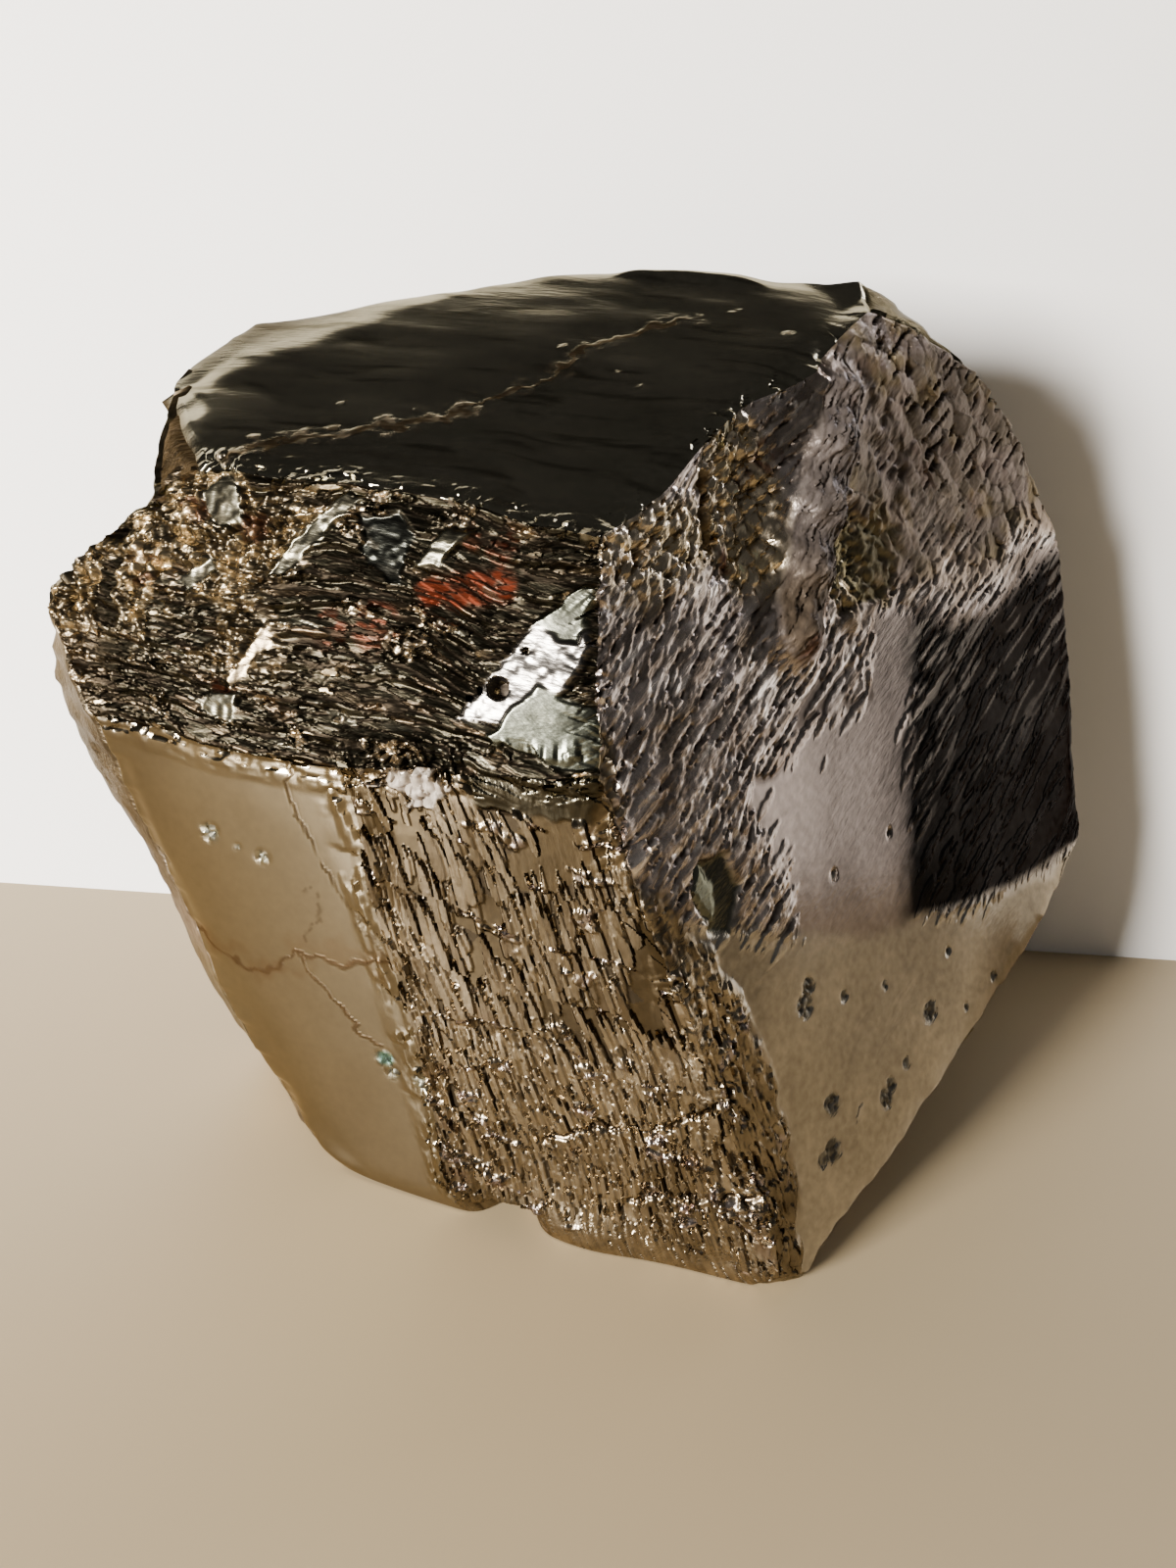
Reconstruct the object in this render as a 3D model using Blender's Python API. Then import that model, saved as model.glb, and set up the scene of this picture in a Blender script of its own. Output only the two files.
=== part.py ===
"""Pyrite crystal specimen: one heavy, weathered lump of intergrown crystal, about 103 mm across.

The lump is a distorted pentagonal dodecahedron. A block is cut by named crystal faces, each given by
its compass angle, its tilt and its distance from the heart of the crystal. Cubic pits, a prism-shaped
cavity and a notch are cut in it. The growth relief is then raised on the faces: terraces on the upper
left face, lens-shaped platelets on the lower middle face, oblique ridges, a lobed hump and a hollow on
the right face. +Z is up, -Y is the front, and the flat base rests on z = 0.
"""
import bpy
import bmesh
from math import sin, cos, pi, exp, floor, radians
from mathutils import Vector, Matrix, noise

# Lengths are in millimetres here; the finished mesh is scaled to metres.
MM = 0.001
NAME = "pyrite_crystal"
HEART = Vector((-5.3, -12.1, 38.7))
BLOCK = 200.0

# Crystal faces: compass angle from the front towards +X, tilt above level, distance from the heart.
FACES = {
    "top": (-15, 67.5, 24.6),
    "upper_left": (-19, 22.5, 15.9),
    "right": (45.5, 19, 14.6),
    "lower_middle": (-14.5, -4, 14.1),
    "lower_left": (-18.8, -5, 15.0),
    "left_bevel": (-41.5, 48, 30.0),
    "left_end": (-84, 4, 45.0),
    "left_sliver": (-52, -9, 31.5),
    "left_foot": (-66, -22, 35.2),
    "left_heel": (-62, -46.5, 41.1),
    "back_left_rim": (-112, 26, 49.2),
    "back_rim": (-166, 22.5, 42.7),
    "back_right_rim": (176, 25, 44.4),
    "back": (-178, 2, 38.6),
    "back_left": (-134, -14, 38.6),
    "right_rim": (72, 52.5, 40.7),
    "right_shoulder": (112, 40.5, 56.2),
    "right_end": (122, 4, 62.4),
    "right_flank": (84, -48, 47.5),
    "right_foot": (68, -38, 45.7),
    "front_toe": (16, -22, 34.4),
    "base": (0, -90, 38.7),
}
# The re-entrant step at the upper left, where a second crystal stands out below the first.
STEP_FACES = {"step_wall": (-85, -1.6, 34.2), "step_floor": (-100, 46, 40.1)}

# Relief of the worked faces.
TERRACE_PITCH = 2.3
TERRACE_TREAD = 0.55
TERRACE_RISE = 0.9
PLATELET_WIDTH = 2.5
PLATELET_LENGTH = 8.0
PLATELET_RISE = 1.15
PLATELET_LEAN = 62.0        # degrees from level, leaning to the left as they rise
RIDGE_PITCH = 2.6
RIDGE_RISE = 0.9
RIDGE_LEAN = 27.0           # degrees from level, rising to the right
RELIEF_REACH = 5.0          # depth below a face at which its relief has died away
WAVE = 0.5                  # slow waviness of the hidden faces
STEP_PITCH = 5.5            # growth steps of the hidden faces

# Cubic pits: face, place along it (right, up) and edge length of the cube.
PITS = [
    ("right", 9.7, -21.5, 2.6), ("right", 27.5, -29.0, 2.0), ("right", 19.1, -34.0, 2.2),
    ("right", 11.3, -32.2, 2.4), ("right", 10.6, -36.2, 2.6), ("right", 15.3, -22.7, 1.6),
    ("right", 23.0, -32.0, 1.5), ("right", 38.7, -29.5, 1.5), ("lower_left", -25.3, -3.2, 1.8),
    ("lower_left", -20.3, -4.4, 1.4), ("lower_left", -9.9, -22.2, 2.0),
    ("upper_left", -0.4, 6.6, 2.0),
]
CAVITY_AT = (0.9, -8.8)     # on the right face
CAVITY_SIZE = (3.2, 8.5, 6.0)
SLOT_AT = (7.6, 20.0)
SLOT_SIZE = (1.3, 6.0, 4.0)
HUMP_TOP, HUMP_FOOT = (27.0, 31.0), (14.0, 7.5)
HUMP_WIDTH, HUMP_RISE = 3.4, 2.0
HOLLOW_AT, HOLLOW_SIZE, HOLLOW_DEPTH = (12.0, 20.5), (5.5, 8.5), 2.6
FOOT_NOTCH_AT = (0.9, -39.0)   # on the lower middle face, at the base
FOOT_NOTCH_SIZE = (7.0, 3.4, 9.0)


def face_frame(name):
    """Return a face's origin and its right, up and outward unit vectors."""
    compass, tilt, distance = {**FACES, **STEP_FACES}[name]
    a, t = radians(compass), radians(tilt)
    outward = Vector((sin(a) * cos(t), -cos(a) * cos(t), sin(t)))
    right = Vector((cos(a), sin(a), 0))
    return HEART + distance * outward, right, outward.cross(right), outward


FRAMES = {name: face_frame(name) for name in (*FACES, *STEP_FACES)}


def on_face(name, right, up, out=0.0):
    """Return the point that lies so far right, up and out from a face's origin."""
    origin, r, u, n = FRAMES[name]
    return origin + right * r + up * u + out * n


def cut(bm, name, keep_inside=True):
    """Cut the closed body with a face's plane, drop one side and close the cut with one polygon."""
    origin, _, _, outward = FRAMES[name]
    result = bmesh.ops.bisect_plane(bm, geom=bm.verts[:] + bm.edges[:] + bm.faces[:], plane_co=origin,
                                    plane_no=outward, clear_outer=keep_inside, clear_inner=not keep_inside)
    rim = [g for g in result["geom_cut"] if isinstance(g, bmesh.types.BMEdge)]
    bmesh.ops.contextual_create(bm, geom=rim)
    bmesh.ops.recalc_face_normals(bm, faces=bm.faces[:])


def new_object(name, bm, collection):
    """Put a bmesh into a new object of the given collection."""
    mesh = bpy.data.meshes.new(name)
    bm.to_mesh(mesh)
    bm.free()
    piece = bpy.data.objects.new(name, mesh)
    collection.objects.link(piece)
    return piece


def crystal_block():
    """A cube cut by every crystal face."""
    bm = bmesh.new()
    bmesh.ops.create_cube(bm, size=BLOCK, matrix=Matrix.Translation(HEART))
    for name in FACES:
        cut(bm, name)
    return bm


def step_cutter():
    """The part of a cube that lies outside both faces of the re-entrant step."""
    bm = bmesh.new()
    bmesh.ops.create_cube(bm, size=BLOCK, matrix=Matrix.Translation(HEART))
    for name in STEP_FACES:
        cut(bm, name, keep_inside=False)
    return bm


def box_on_face(bm, name, at, size, turn, sink):
    """Add a box of size (right, up, out) to bm, turned about the face's outward direction."""
    origin, r, u, n = FRAMES[name]
    axes = Matrix((r, u, n)).transposed().to_4x4()
    place = Matrix.Translation(on_face(name, at[0], at[1], -sink)) @ axes @ Matrix.Rotation(turn, 4, "Z")
    bmesh.ops.create_cube(bm, size=1.0, matrix=place @ Matrix.Diagonal((*size, 1.0)))


def pit_cutters():
    """Cubes half sunk in their faces, each turned and tipped in its own way."""
    bm = bmesh.new()
    for i, (name, right, up, size) in enumerate(PITS):
        _, r, u, n = FRAMES[name]
        axes = Matrix((r, u, n)).transposed().to_4x4()
        tip = Matrix.Rotation(radians(17 * (i % 3) - 14), 4, "X") @ Matrix.Rotation(radians(40 * i), 4, "Z")
        place = Matrix.Translation(on_face(name, right, up)) @ axes @ tip
        bmesh.ops.create_cube(bm, size=size, matrix=place)
    return bm


def cavity_cutters():
    """The prism-shaped cavity and the narrow slot of the right face, and the notch under the front foot."""
    bm = bmesh.new()
    box_on_face(bm, "right", CAVITY_AT, CAVITY_SIZE, radians(16), 0.0)
    box_on_face(bm, "right", SLOT_AT, SLOT_SIZE, radians(-8), 0.0)
    box_on_face(bm, "lower_middle", FOOT_NOTCH_AT, FOOT_NOTCH_SIZE, radians(-20), 0.0)
    return bm


def faces_on(bm, name):
    """List the polygons that lie in a crystal face's plane."""
    origin, _, _, outward = FRAMES[name]
    return [f for f in bm.faces
            if f.normal.dot(outward) > 0.9999 and abs((f.calc_center_median() - origin).dot(outward)) < 0.02]


def score(bm, name, lean, lines):
    """Cut a crystal face along parallel lines that rise at lean degrees, at the given offsets across them."""
    origin, right, up, _ = FRAMES[name]
    across = -sin(radians(lean)) * right + cos(radians(lean)) * up
    for offset in lines:
        sheet = faces_on(bm, name)
        geometry = set(sheet)
        for face in sheet:
            geometry.update(face.edges)
            geometry.update(face.verts)
        bmesh.ops.bisect_plane(bm, geom=list(geometry), dist=0.12, plane_co=origin + offset * across,
                               plane_no=across)


def evenly(low, high, pitch):
    """Offsets from low to high, one pitch apart, on multiples of the pitch."""
    first = int(floor(low / pitch))
    return [pitch * i for i in range(first, int(floor(high / pitch)) + 2)]


def score_faces(bm):
    """Lay the lines that the relief of each face needs."""
    treads = evenly(-6, 24, TERRACE_PITCH)
    score(bm, "upper_left", 0, sorted(treads + [t - TERRACE_TREAD for t in treads]))
    score(bm, "upper_left", 84, evenly(-50, 12, 1.9))
    score(bm, "lower_middle", PLATELET_LEAN + 45, evenly(-40, 45, PLATELET_WIDTH / 2))
    score(bm, "lower_middle", 20, evenly(-45, 15, PLATELET_LENGTH / 4))
    score(bm, "right", RIDGE_LEAN, evenly(-62, 32, RIDGE_PITCH / 2))
    score(bm, "right", RIDGE_LEAN + 78, evenly(-70, 30, 2.3))
    score(bm, "top", 8, evenly(-8, 60, 2.8))
    score(bm, "top", 97, evenly(-30, 50, 3.4))
    score(bm, "lower_left", 75, evenly(-20, 50, 3.6))
    score(bm, "lower_left", -12, evenly(-50, 12, 3.6))
    steps = evenly(-60, 60, STEP_PITCH)
    for name in ("back", "back_left", "right_end", "right_flank", "back_rim", "back_right_rim"):
        score(bm, name, 3, sorted(steps + [s + 0.8 for s in steps]))
        score(bm, name, 91, evenly(-60, 60, 6.5))
    for name in ("left_end", "left_sliver", "left_bevel", "right_foot", "right_shoulder", "left_foot"):
        score(bm, name, 3, evenly(-45, 45, 4.0))
        score(bm, name, 93, evenly(-45, 45, 4.5))


def smooth(low, high, x):
    """Rise smoothly from 0 at low to 1 at high."""
    t = min(max((x - low) / (high - low), 0.0), 1.0)
    return t * t * (3 - 2 * t)


def wave(p, scale, seed):
    """Slow noise between about -1 and 1."""
    return noise.noise(Vector((p[0] * scale + seed, p[1] * scale - seed, seed * 0.7)))


def terraces(a, b):
    """Stair treads: the height climbs along each riser and drops over a narrow tread."""
    turn = b / TERRACE_PITCH
    climb = turn - floor(turn + 1e-6)
    riser = 1 - TERRACE_TREAD / TERRACE_PITCH
    level = climb / riser if climb < riser + 1e-6 else (1 - climb) / (1 - riser)
    return TERRACE_RISE * level * (0.65 + 0.6 * wave((a, b), 0.16, 3.1)) - 0.45 * TERRACE_RISE


def platelets(a, b):
    """Lens-shaped platelets: crest lines between valley lines, fading in and out along their length."""
    lean = radians(PLATELET_LEAN + 45)
    across = -sin(lean) * a + cos(lean) * b
    along = cos(lean) * a + sin(lean) * b
    row = floor(across / PLATELET_WIDTH)
    crest = abs(sin(pi * across / PLATELET_WIDTH))
    lens = 0.6 + 0.4 * cos(2 * pi * (along / PLATELET_LENGTH + 0.5 * (row % 2)))
    return PLATELET_RISE * (crest * lens - 0.4) * (0.7 + 0.5 * wave((a, b), 0.12, 7.7))


def hump(a, b):
    """A lobed ridge that runs down the right face."""
    (ax, ay), (bx, by) = HUMP_TOP, HUMP_FOOT
    length = ((bx - ax) ** 2 + (by - ay) ** 2) ** 0.5
    along = ((a - ax) * (bx - ax) + (b - ay) * (by - ay)) / length
    across = ((a - ax) * (by - ay) - (b - ay) * (bx - ax)) / length
    lobes = 1 + 0.18 * sin(2 * pi * along / 8.0)
    ends = smooth(-1, 4, along) * smooth(-3, 3, length - along)
    return HUMP_RISE * lobes * ends * exp(-(across / HUMP_WIDTH) ** 2)


def hollow(a, b):
    """A shallow oval hollow beside the hump."""
    (x, y), (w, h) = HOLLOW_AT, HOLLOW_SIZE
    return -HOLLOW_DEPTH * exp(-((a - x) / w) ** 2 - ((b - y) / h) ** 2)


def right_relief(a, b):
    """Oblique ridges on the upper part, smooth metal below them, with the hump and the hollow."""
    lean = radians(RIDGE_LEAN)
    across = -sin(lean) * a + cos(lean) * b
    etched = smooth(-21, -15, b + 0.15 * a) * (0.6 + 0.6 * wave((a, b), 0.09, 1.3))
    ridge = RIDGE_RISE * (abs(sin(pi * across / RIDGE_PITCH)) - 0.45) * etched
    return ridge + hump(a, b) + hollow(a, b) + 0.5 * wave((a, b), 0.05, 5.2)


def top_relief(a, b):
    """A nearly flat face with a broken ledge along its back edge and a falling left shoulder."""
    ledge = 0.9 * smooth(41, 43.5, b) * smooth(-7, -4, a) * smooth(-8, -4, -a)
    shoulder = -1.6 * smooth(0, 16, -a * 0.75 + b * 0.6 - 30)
    return ledge + shoulder + 0.3 * wave((a, b), 0.08, 9.4)


def low_wave(scale, size):
    """A plain waviness for the smooth faces."""
    return lambda a, b: size * wave((a, b), scale, 4.6)


def growth_steps(scale, size):
    """Broad growth steps for the hidden faces, with a plain waviness."""
    def height(a, b):
        across = cos(radians(3)) * b - sin(radians(3)) * a
        turn = across / STEP_PITCH
        climb = turn - floor(turn + 1e-6)
        return 0.8 * (1 - climb) * (0.5 + 0.6 * wave((a, b), 0.07, 2.2)) + size * wave((a, b), scale, 4.6)
    return height


RELIEF = {
    "top": top_relief, "upper_left": terraces, "lower_middle": platelets, "right": right_relief,
    "lower_left": low_wave(0.06, 0.25), "left_end": low_wave(0.14, 1.0), "left_bevel": low_wave(0.2, 0.8),
    "back": growth_steps(0.09, 2 * WAVE), "back_left": growth_steps(0.11, 2 * WAVE),
    "right_end": growth_steps(0.15, 2 * WAVE), "right_flank": growth_steps(0.07, WAVE),
    "right_shoulder": low_wave(0.2, 1.2), "back_rim": growth_steps(0.1, 2 * WAVE),
}
# Sideways wander of the relief lines along each face: how far right, how far up, and its scale.
WANDER = {"upper_left": (0.3, 1.1, 0.13), "lower_middle": (0.9, 0.5, 0.11), "right": (0.8, 0.8, 0.09),
          "top": (0.5, 0.9, 0.12), "back": (0.4, 1.2, 0.07), "back_left": (0.4, 1.2, 0.07)}


def relief_at(p):
    """Sum the relief of the faces that the point lies on, or close under."""
    shift = Vector((0, 0, 0))
    for name, height in RELIEF.items():
        origin, right, up, outward = FRAMES[name]
        local = p - origin
        depth = -local.dot(outward)
        if depth < RELIEF_REACH:
            fade = 1 - smooth(0.0, RELIEF_REACH, depth)
            a, b = local.dot(right), local.dot(up)
            shift += outward * height(a, b) * fade
            far_right, far_up, scale = WANDER.get(name, (0, 0, 1))
            shift += right * far_right * wave((a, b), scale, 6.1) * fade
            shift += up * far_up * wave((a, b), scale, 8.3) * fade
    shift *= smooth(-0.5, 3.0, p.z)
    return shift


def raise_relief(bm):
    """Move every vertex by the relief and keep the base flat."""
    moves = [(v, relief_at(v.co)) for v in bm.verts if v.co.z > 0.05]
    for vertex, shift in moves:
        vertex.co += shift


def pyrite_material():
    """Pale brass-yellow metal with a dull bronze tarnish."""
    material = bpy.data.materials.new("pyrite_metal")
    material.use_nodes = True
    shader = material.node_tree.nodes["Principled BSDF"]
    shader.inputs["Base Color"].default_value = (0.36, 0.29, 0.19, 1)
    shader.inputs["Metallic"].default_value = 1.0
    shader.inputs["Roughness"].default_value = 0.34
    return material


def carve(piece, cutters, collection):
    """Subtract each cutter from the piece with a Boolean and bake the result into its mesh."""
    for name, bm in cutters:
        cutter = new_object(name, bm, collection)
        cutter.hide_render = True
        cutter.display_type = "WIRE"
        carving = piece.modifiers.new(name, "BOOLEAN")
        carving.operation = "DIFFERENCE"
        carving.solver = "EXACT"
        carving.object = cutter
    bpy.context.view_layer.update()
    depsgraph = bpy.context.evaluated_depsgraph_get()
    carved = bpy.data.meshes.new_from_object(piece.evaluated_get(depsgraph))
    piece.modifiers.clear()
    piece.data = carved


def finish_surface(piece):
    """Score the faces, raise their relief and turn the mesh from millimetres into metres."""
    bm = bmesh.new()
    bm.from_mesh(piece.data)
    bm.normal_update()
    score_faces(bm)
    bmesh.ops.triangulate(bm, faces=bm.faces[:])
    raise_relief(bm)
    bmesh.ops.remove_doubles(bm, verts=bm.verts[:], dist=0.03)
    bmesh.ops.dissolve_degenerate(bm, edges=bm.edges[:], dist=0.02)
    bmesh.ops.triangulate(bm, faces=bm.faces[:])
    bmesh.ops.scale(bm, vec=(MM, MM, MM), verts=bm.verts[:])
    bm.to_mesh(piece.data)
    bm.free()


def main():
    for old in list(bpy.data.objects):
        bpy.data.objects.remove(old, do_unlink=True)
    parts = bpy.data.collections.new("pyrite_specimen")
    tools = bpy.data.collections.new("cutters")
    for collection in (parts, tools):
        bpy.context.scene.collection.children.link(collection)
    crystal = new_object(NAME, crystal_block(), parts)
    cutters = [("step_cutter", step_cutter()), ("pit_cutters", pit_cutters()),
               ("cavity_cutters", cavity_cutters())]
    carve(crystal, cutters, tools)
    finish_surface(crystal)
    for cutter in tools.objects:
        cutter.scale = (MM, MM, MM)
    crystal.data.materials.clear()
    crystal.data.materials.append(pyrite_material())


main()
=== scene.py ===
"""Looks of the pyrite crystal specimen.

The worked crystal faces are fine sheets, each a grid of two parameters laid over the face's outline and
raised by that face's own relief. A closed body carries the remaining faces. Lengths are in millimetres
until a mesh is made; +Z is up, -Y is the front, and the lump rests on z = 0.
"""
import bpy
import numpy as np
from mathutils import Matrix, Vector


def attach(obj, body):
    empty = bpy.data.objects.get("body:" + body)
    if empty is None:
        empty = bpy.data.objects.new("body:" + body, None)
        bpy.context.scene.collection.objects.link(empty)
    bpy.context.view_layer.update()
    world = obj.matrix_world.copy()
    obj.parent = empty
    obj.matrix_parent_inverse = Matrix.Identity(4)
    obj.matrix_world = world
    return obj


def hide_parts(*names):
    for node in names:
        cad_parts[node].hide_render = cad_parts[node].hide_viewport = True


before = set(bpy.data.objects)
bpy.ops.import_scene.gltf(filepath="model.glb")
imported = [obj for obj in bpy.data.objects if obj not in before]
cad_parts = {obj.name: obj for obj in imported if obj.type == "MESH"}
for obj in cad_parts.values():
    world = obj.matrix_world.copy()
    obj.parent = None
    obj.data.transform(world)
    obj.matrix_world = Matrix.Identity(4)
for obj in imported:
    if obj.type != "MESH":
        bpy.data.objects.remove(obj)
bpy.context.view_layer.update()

MM = 0.001
COARSE = 1.0
BODY = "root"
NODE = "pyrite_crystal"

# ---------------------------------------------------------------- the crystal's form

HEART = np.array([-5.3, -12.1, 38.7])
# Crystal faces: compass angle from the front towards +X, tilt above level, distance from the heart.
FACES = {
    "top": (-15, 67.5, 24.6),
    "upper_left": (-19, 22.5, 15.9),
    "right": (45.5, 19, 14.6),
    "lower_middle": (-14.5, -4, 14.1),
    "lower_left": (-18.8, -5, 15.0),
    "left_bevel": (-41.5, 48, 30.0),
    "left_end": (-84, 4, 45.0),
    "left_sliver": (-52, -9, 31.5),
    "left_foot": (-66, -22, 35.2),
    "left_heel": (-62, -46.5, 41.1),
    "back_left_rim": (-112, 26, 49.2),
    "back_rim": (-166, 22.5, 42.7),
    "back_right_rim": (176, 25, 44.4),
    "back": (-178, 2, 38.6),
    "back_left": (-134, -14, 38.6),
    "right_rim": (72, 52.5, 40.7),
    "right_shoulder": (112, 40.5, 56.2),
    "right_end": (122, 4, 62.4),
    "right_flank": (84, -48, 47.5),
    "right_foot": (68, -38, 45.7),
    "front_toe": (16, -22, 34.4),
    "base": (0, -90, 38.7),
}
# The re-entrant step at the upper left, where a second crystal stands out below the first.
STEP_FACES = {"step_wall": (-85, -1.6, 34.2), "step_floor": (-100, 46, 40.1)}
# Faces that are worked as fine sheets, and the spacing of their grids.
WORKED = {"top": 0.25, "upper_left": 0.13, "right": 0.21, "lower_middle": 0.13, "lower_left": 0.25,
          "step_wall": 0.3, "step_floor": 0.3}
SINK = 0.55                 # how far the body lies under the worked sheets
SHEET_DEPTH = 13.0          # depth of the point that closes a worked sheet from behind
STEP_FADE = 1.5             # how far in from the edges the step's own relief is whole
SKIRT, TUCK = 1.4, 0.35     # how far a worked sheet turns over onto a bare neighbour, and into it


def face_frame(values):
    """Origin and right, up and outward unit vectors of a face, from its two angles and its distance."""
    compass, tilt, distance = values
    a, t = np.radians(compass), np.radians(tilt)
    outward = np.array([np.sin(a) * np.cos(t), -np.cos(a) * np.cos(t), np.sin(t)])
    right = np.array([np.cos(a), np.sin(a), 0.0])
    return HEART + distance * outward, right, np.cross(outward, right), outward


FRAMES = {name: face_frame(values) for name, values in {**FACES, **STEP_FACES}.items()}

# Places where the edges are worn round, on a face: right, up, how far around, and the rounding radius.
EDGE_RADIUS = 0.3
WORN = [("upper_left", -42, 8, 13, 1.9), ("lower_left", -33, -12, 15, 1.7),
        ("lower_left", -26, -32, 12, 1.6), ("top", 16, 42, 9, 1.6), ("top", -39, 18, 8, 1.0),
        ("right", 56, -20, 9, 1.0)]
# Bites out of the foot, and bulges where the depth is negative: face, right, half width, height, depth.
FOOT_DENTS = [("lower_middle", 0.9, 2.1, 3.4, 4.5), ("lower_middle", 8.5, 4.5, 5.0, -0.7)]


def height_over(name, points):
    """Signed distance of points outside a face's plane: (p - origin) . outward."""
    origin, _, _, outward = FRAMES[name]
    return (points - origin) @ outward


# ---------------------------------------------------------------- noise and cells

def scrambled(i, j, seed):
    """A random number from 0 to 1 for each pair of whole numbers: a scrambled sum of prime products."""
    h = (i.astype(np.int64) * 374761393 + j.astype(np.int64) * 668265263 + seed * 982451653) & 0xFFFFFFFF
    h = ((h ^ (h >> 13)) * 1274126177) & 0xFFFFFFFF
    h = ((h ^ (h >> 15)) * 1103515245) & 0xFFFFFFFF
    return ((h ^ (h >> 16)) & 0xFFFFFF) / 0xFFFFFF


def smooth(low, high, x):
    """Rise from 0 at low to 1 at high along 3t^2 - 2t^3."""
    t = np.clip((x - low) / (high - low), 0.0, 1.0)
    return t * t * (3 - 2 * t)


def noise(a, b, seed):
    """Value noise from -1 to 1: lattice values blended by 6t^5 - 15t^4 + 10t^3 along both axes."""
    i, j = np.floor(a), np.floor(b)
    s, t = a - i, b - j
    s, t = (q * q * q * (q * (q * 6 - 15) + 10) for q in (s, t))
    low = scrambled(i, j, seed) * (1 - s) + scrambled(i + 1, j, seed) * s
    high = scrambled(i, j + 1, seed) * (1 - s) + scrambled(i + 1, j + 1, seed) * s
    return 2 * (low * (1 - t) + high * t) - 1


def layered(a, b, seed, octaves=3):
    """Noise summed over octaves, each twice as fine and half as strong as the last."""
    return sum(noise(a * 2 ** k, b * 2 ** k, seed + 11 * k) / 2 ** k for k in range(octaves)) / 1.6


def cells(a, b, seed, lens=1.3):
    """Split the plane into angular cells round scattered centres.

    The distance to a centre is (|x|^lens + |y|^lens)^(1/lens). Returns the gap between the nearest two
    distances, a random key for each cell, and the place inside the cell as x and y.
    """
    i, j = np.floor(a), np.floor(b)
    near, far = np.full(a.shape, 9.0), np.full(a.shape, 9.0)
    key, x, y = np.zeros(a.shape), np.zeros(a.shape), np.zeros(a.shape)
    for di in (-1, 0, 1):
        for dj in (-1, 0, 1):
            ci, cj = i + di, j + dj
            dx = a - ci - 0.5 - 0.9 * (scrambled(ci, cj, seed) - 0.5)
            dy = b - cj - 0.5 - 0.9 * (scrambled(ci, cj, seed + 1) - 0.5)
            d = (np.abs(dx) ** lens + np.abs(dy) ** lens) ** (1 / lens)
            closer = d < near
            far = np.where(closer, near, np.minimum(far, d))
            near = np.where(closer, d, near)
            key = np.where(closer, scrambled(ci, cj, seed + 2), key)
            x, y = np.where(closer, dx, x), np.where(closer, dy, y)
    return far - near, key, x, y


def turned(a, b, lean):
    """Coordinates along and across a direction that rises lean degrees from the face's right."""
    c, s = np.cos(np.radians(lean)), np.sin(np.radians(lean))
    return a * c + b * s, b * c - a * s


def again(key, n):
    """A second random number from a cell's key: the fraction of the key times a large number."""
    return np.modf(key * (97.13 + 31.7 * n))[0]


def shingles(a, b, lean, length, width, seed, rise=0.3, tip=0.1, fill=0.85, ramp=0.3, blunt=0.35,
             density=None):
    """Overlapping platelets laid along a direction, each drawn out to a point at its far end.

    Over the half length x and half width y of a platelet, it covers |y| < (1-x)^0.8 (1+x)^blunt, and its
    top is level + ramp x. At each place the highest of the platelets round about is kept. A platelet is
    there if its random key is below fill times the density at its centre. Returns the height in
    millimetres, a mask of bare ground, a mask of the platelets' rims, heavier on one side as a painted
    shadow, and the kept platelet's key.
    """
    along, across = turned(a, b, lean)
    u, v = along / length, across / width
    j0 = np.floor(v)
    height, rim, key = np.zeros(u.shape), np.zeros(u.shape), np.zeros(u.shape)
    best = np.zeros(u.shape)
    for dj in (-1, 0, 1):
        cj = j0 + dj
        u2 = u + scrambled(cj, cj, seed + 5)
        i0 = np.floor(u2)
        for di in (-1, 0, 1):
            ci = i0 + di
            k = scrambled(ci, cj, seed)
            long_ = 0.55 + 0.42 * again(k, 1)
            wide = 0.42 + 0.30 * again(k, 2)
            x = (u2 - ci - 0.5 - 0.5 * (again(k, 3) - 0.5)) / long_
            y = (v - cj - 0.5 - 0.6 * (again(k, 4) - 0.5)) / wide
            shape = np.clip(1 - x, 0, 2) ** 0.8 * np.clip(1 + x, 0, 2) ** blunt / 1.1 - np.abs(y)
            level = 0.35 + 0.65 * again(k, 5) + ramp * x
            there = (shape > 0) & (level > best)
            if density is None:
                there &= k < fill
            else:
                centre_u, centre_v = along - x * long_ * length, across - y * wide * width
                ca, cb = turned(centre_u, centre_v, -lean)
                there &= k < fill * density(ca, cb)
            best = np.where(there, level, best)
            tilt = (again(k, 6) - 0.5) * y * wide * width + 0.3 * (again(k, 7) - 0.5) * x * long_ * length
            height = np.where(there, rise * level + tip * tilt, height)
            # rim mask: painted shade at the rims, heavier on one side as a painted shadow
            rim_here = (1 - smooth(0.04, 0.5, shape)) * (0.35 + 0.65 * smooth(0.25, -0.25, y))
            rim = np.where(there, rim_here, rim)
            key = np.where(there, k, key)
    return height, (best <= 0).astype(float), rim, key


def beads(a, b, size, seed, rise=0.5, tip=0.5):
    """Rounded crystals packed side by side: each a dome rise (1 - (d/0.75)^2), tipped its own way.
    Returns the height in millimetres, a mask of the gaps between them and each one's key."""
    gap, key, x, y = cells(a / size, b / size, seed, 2.0)
    dome = 1 - (np.hypot(x, y) / 0.75) ** 2
    lean = (again(key, 1) - 0.5) * x + (again(key, 2) - 0.5) * y
    height = size * (rise * dome * (0.6 + 0.8 * again(key, 3)) + tip * lean)
    return height, 1 - smooth(0.02, 0.14, gap), key


def line_distance(a, b, points):
    """Distance to a broken line: the least over its segments of the distance to the nearest point."""
    best = np.full(np.shape(a), 1e3)
    for (x0, y0), (x1, y1) in zip(points, points[1:]):
        dx, dy = x1 - x0, y1 - y0
        t = np.clip(((a - x0) * dx + (b - y0) * dy) / (dx * dx + dy * dy), 0, 1)
        best = np.minimum(best, np.hypot(a - x0 - t * dx, b - y0 - t * dy))
    return best


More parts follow.
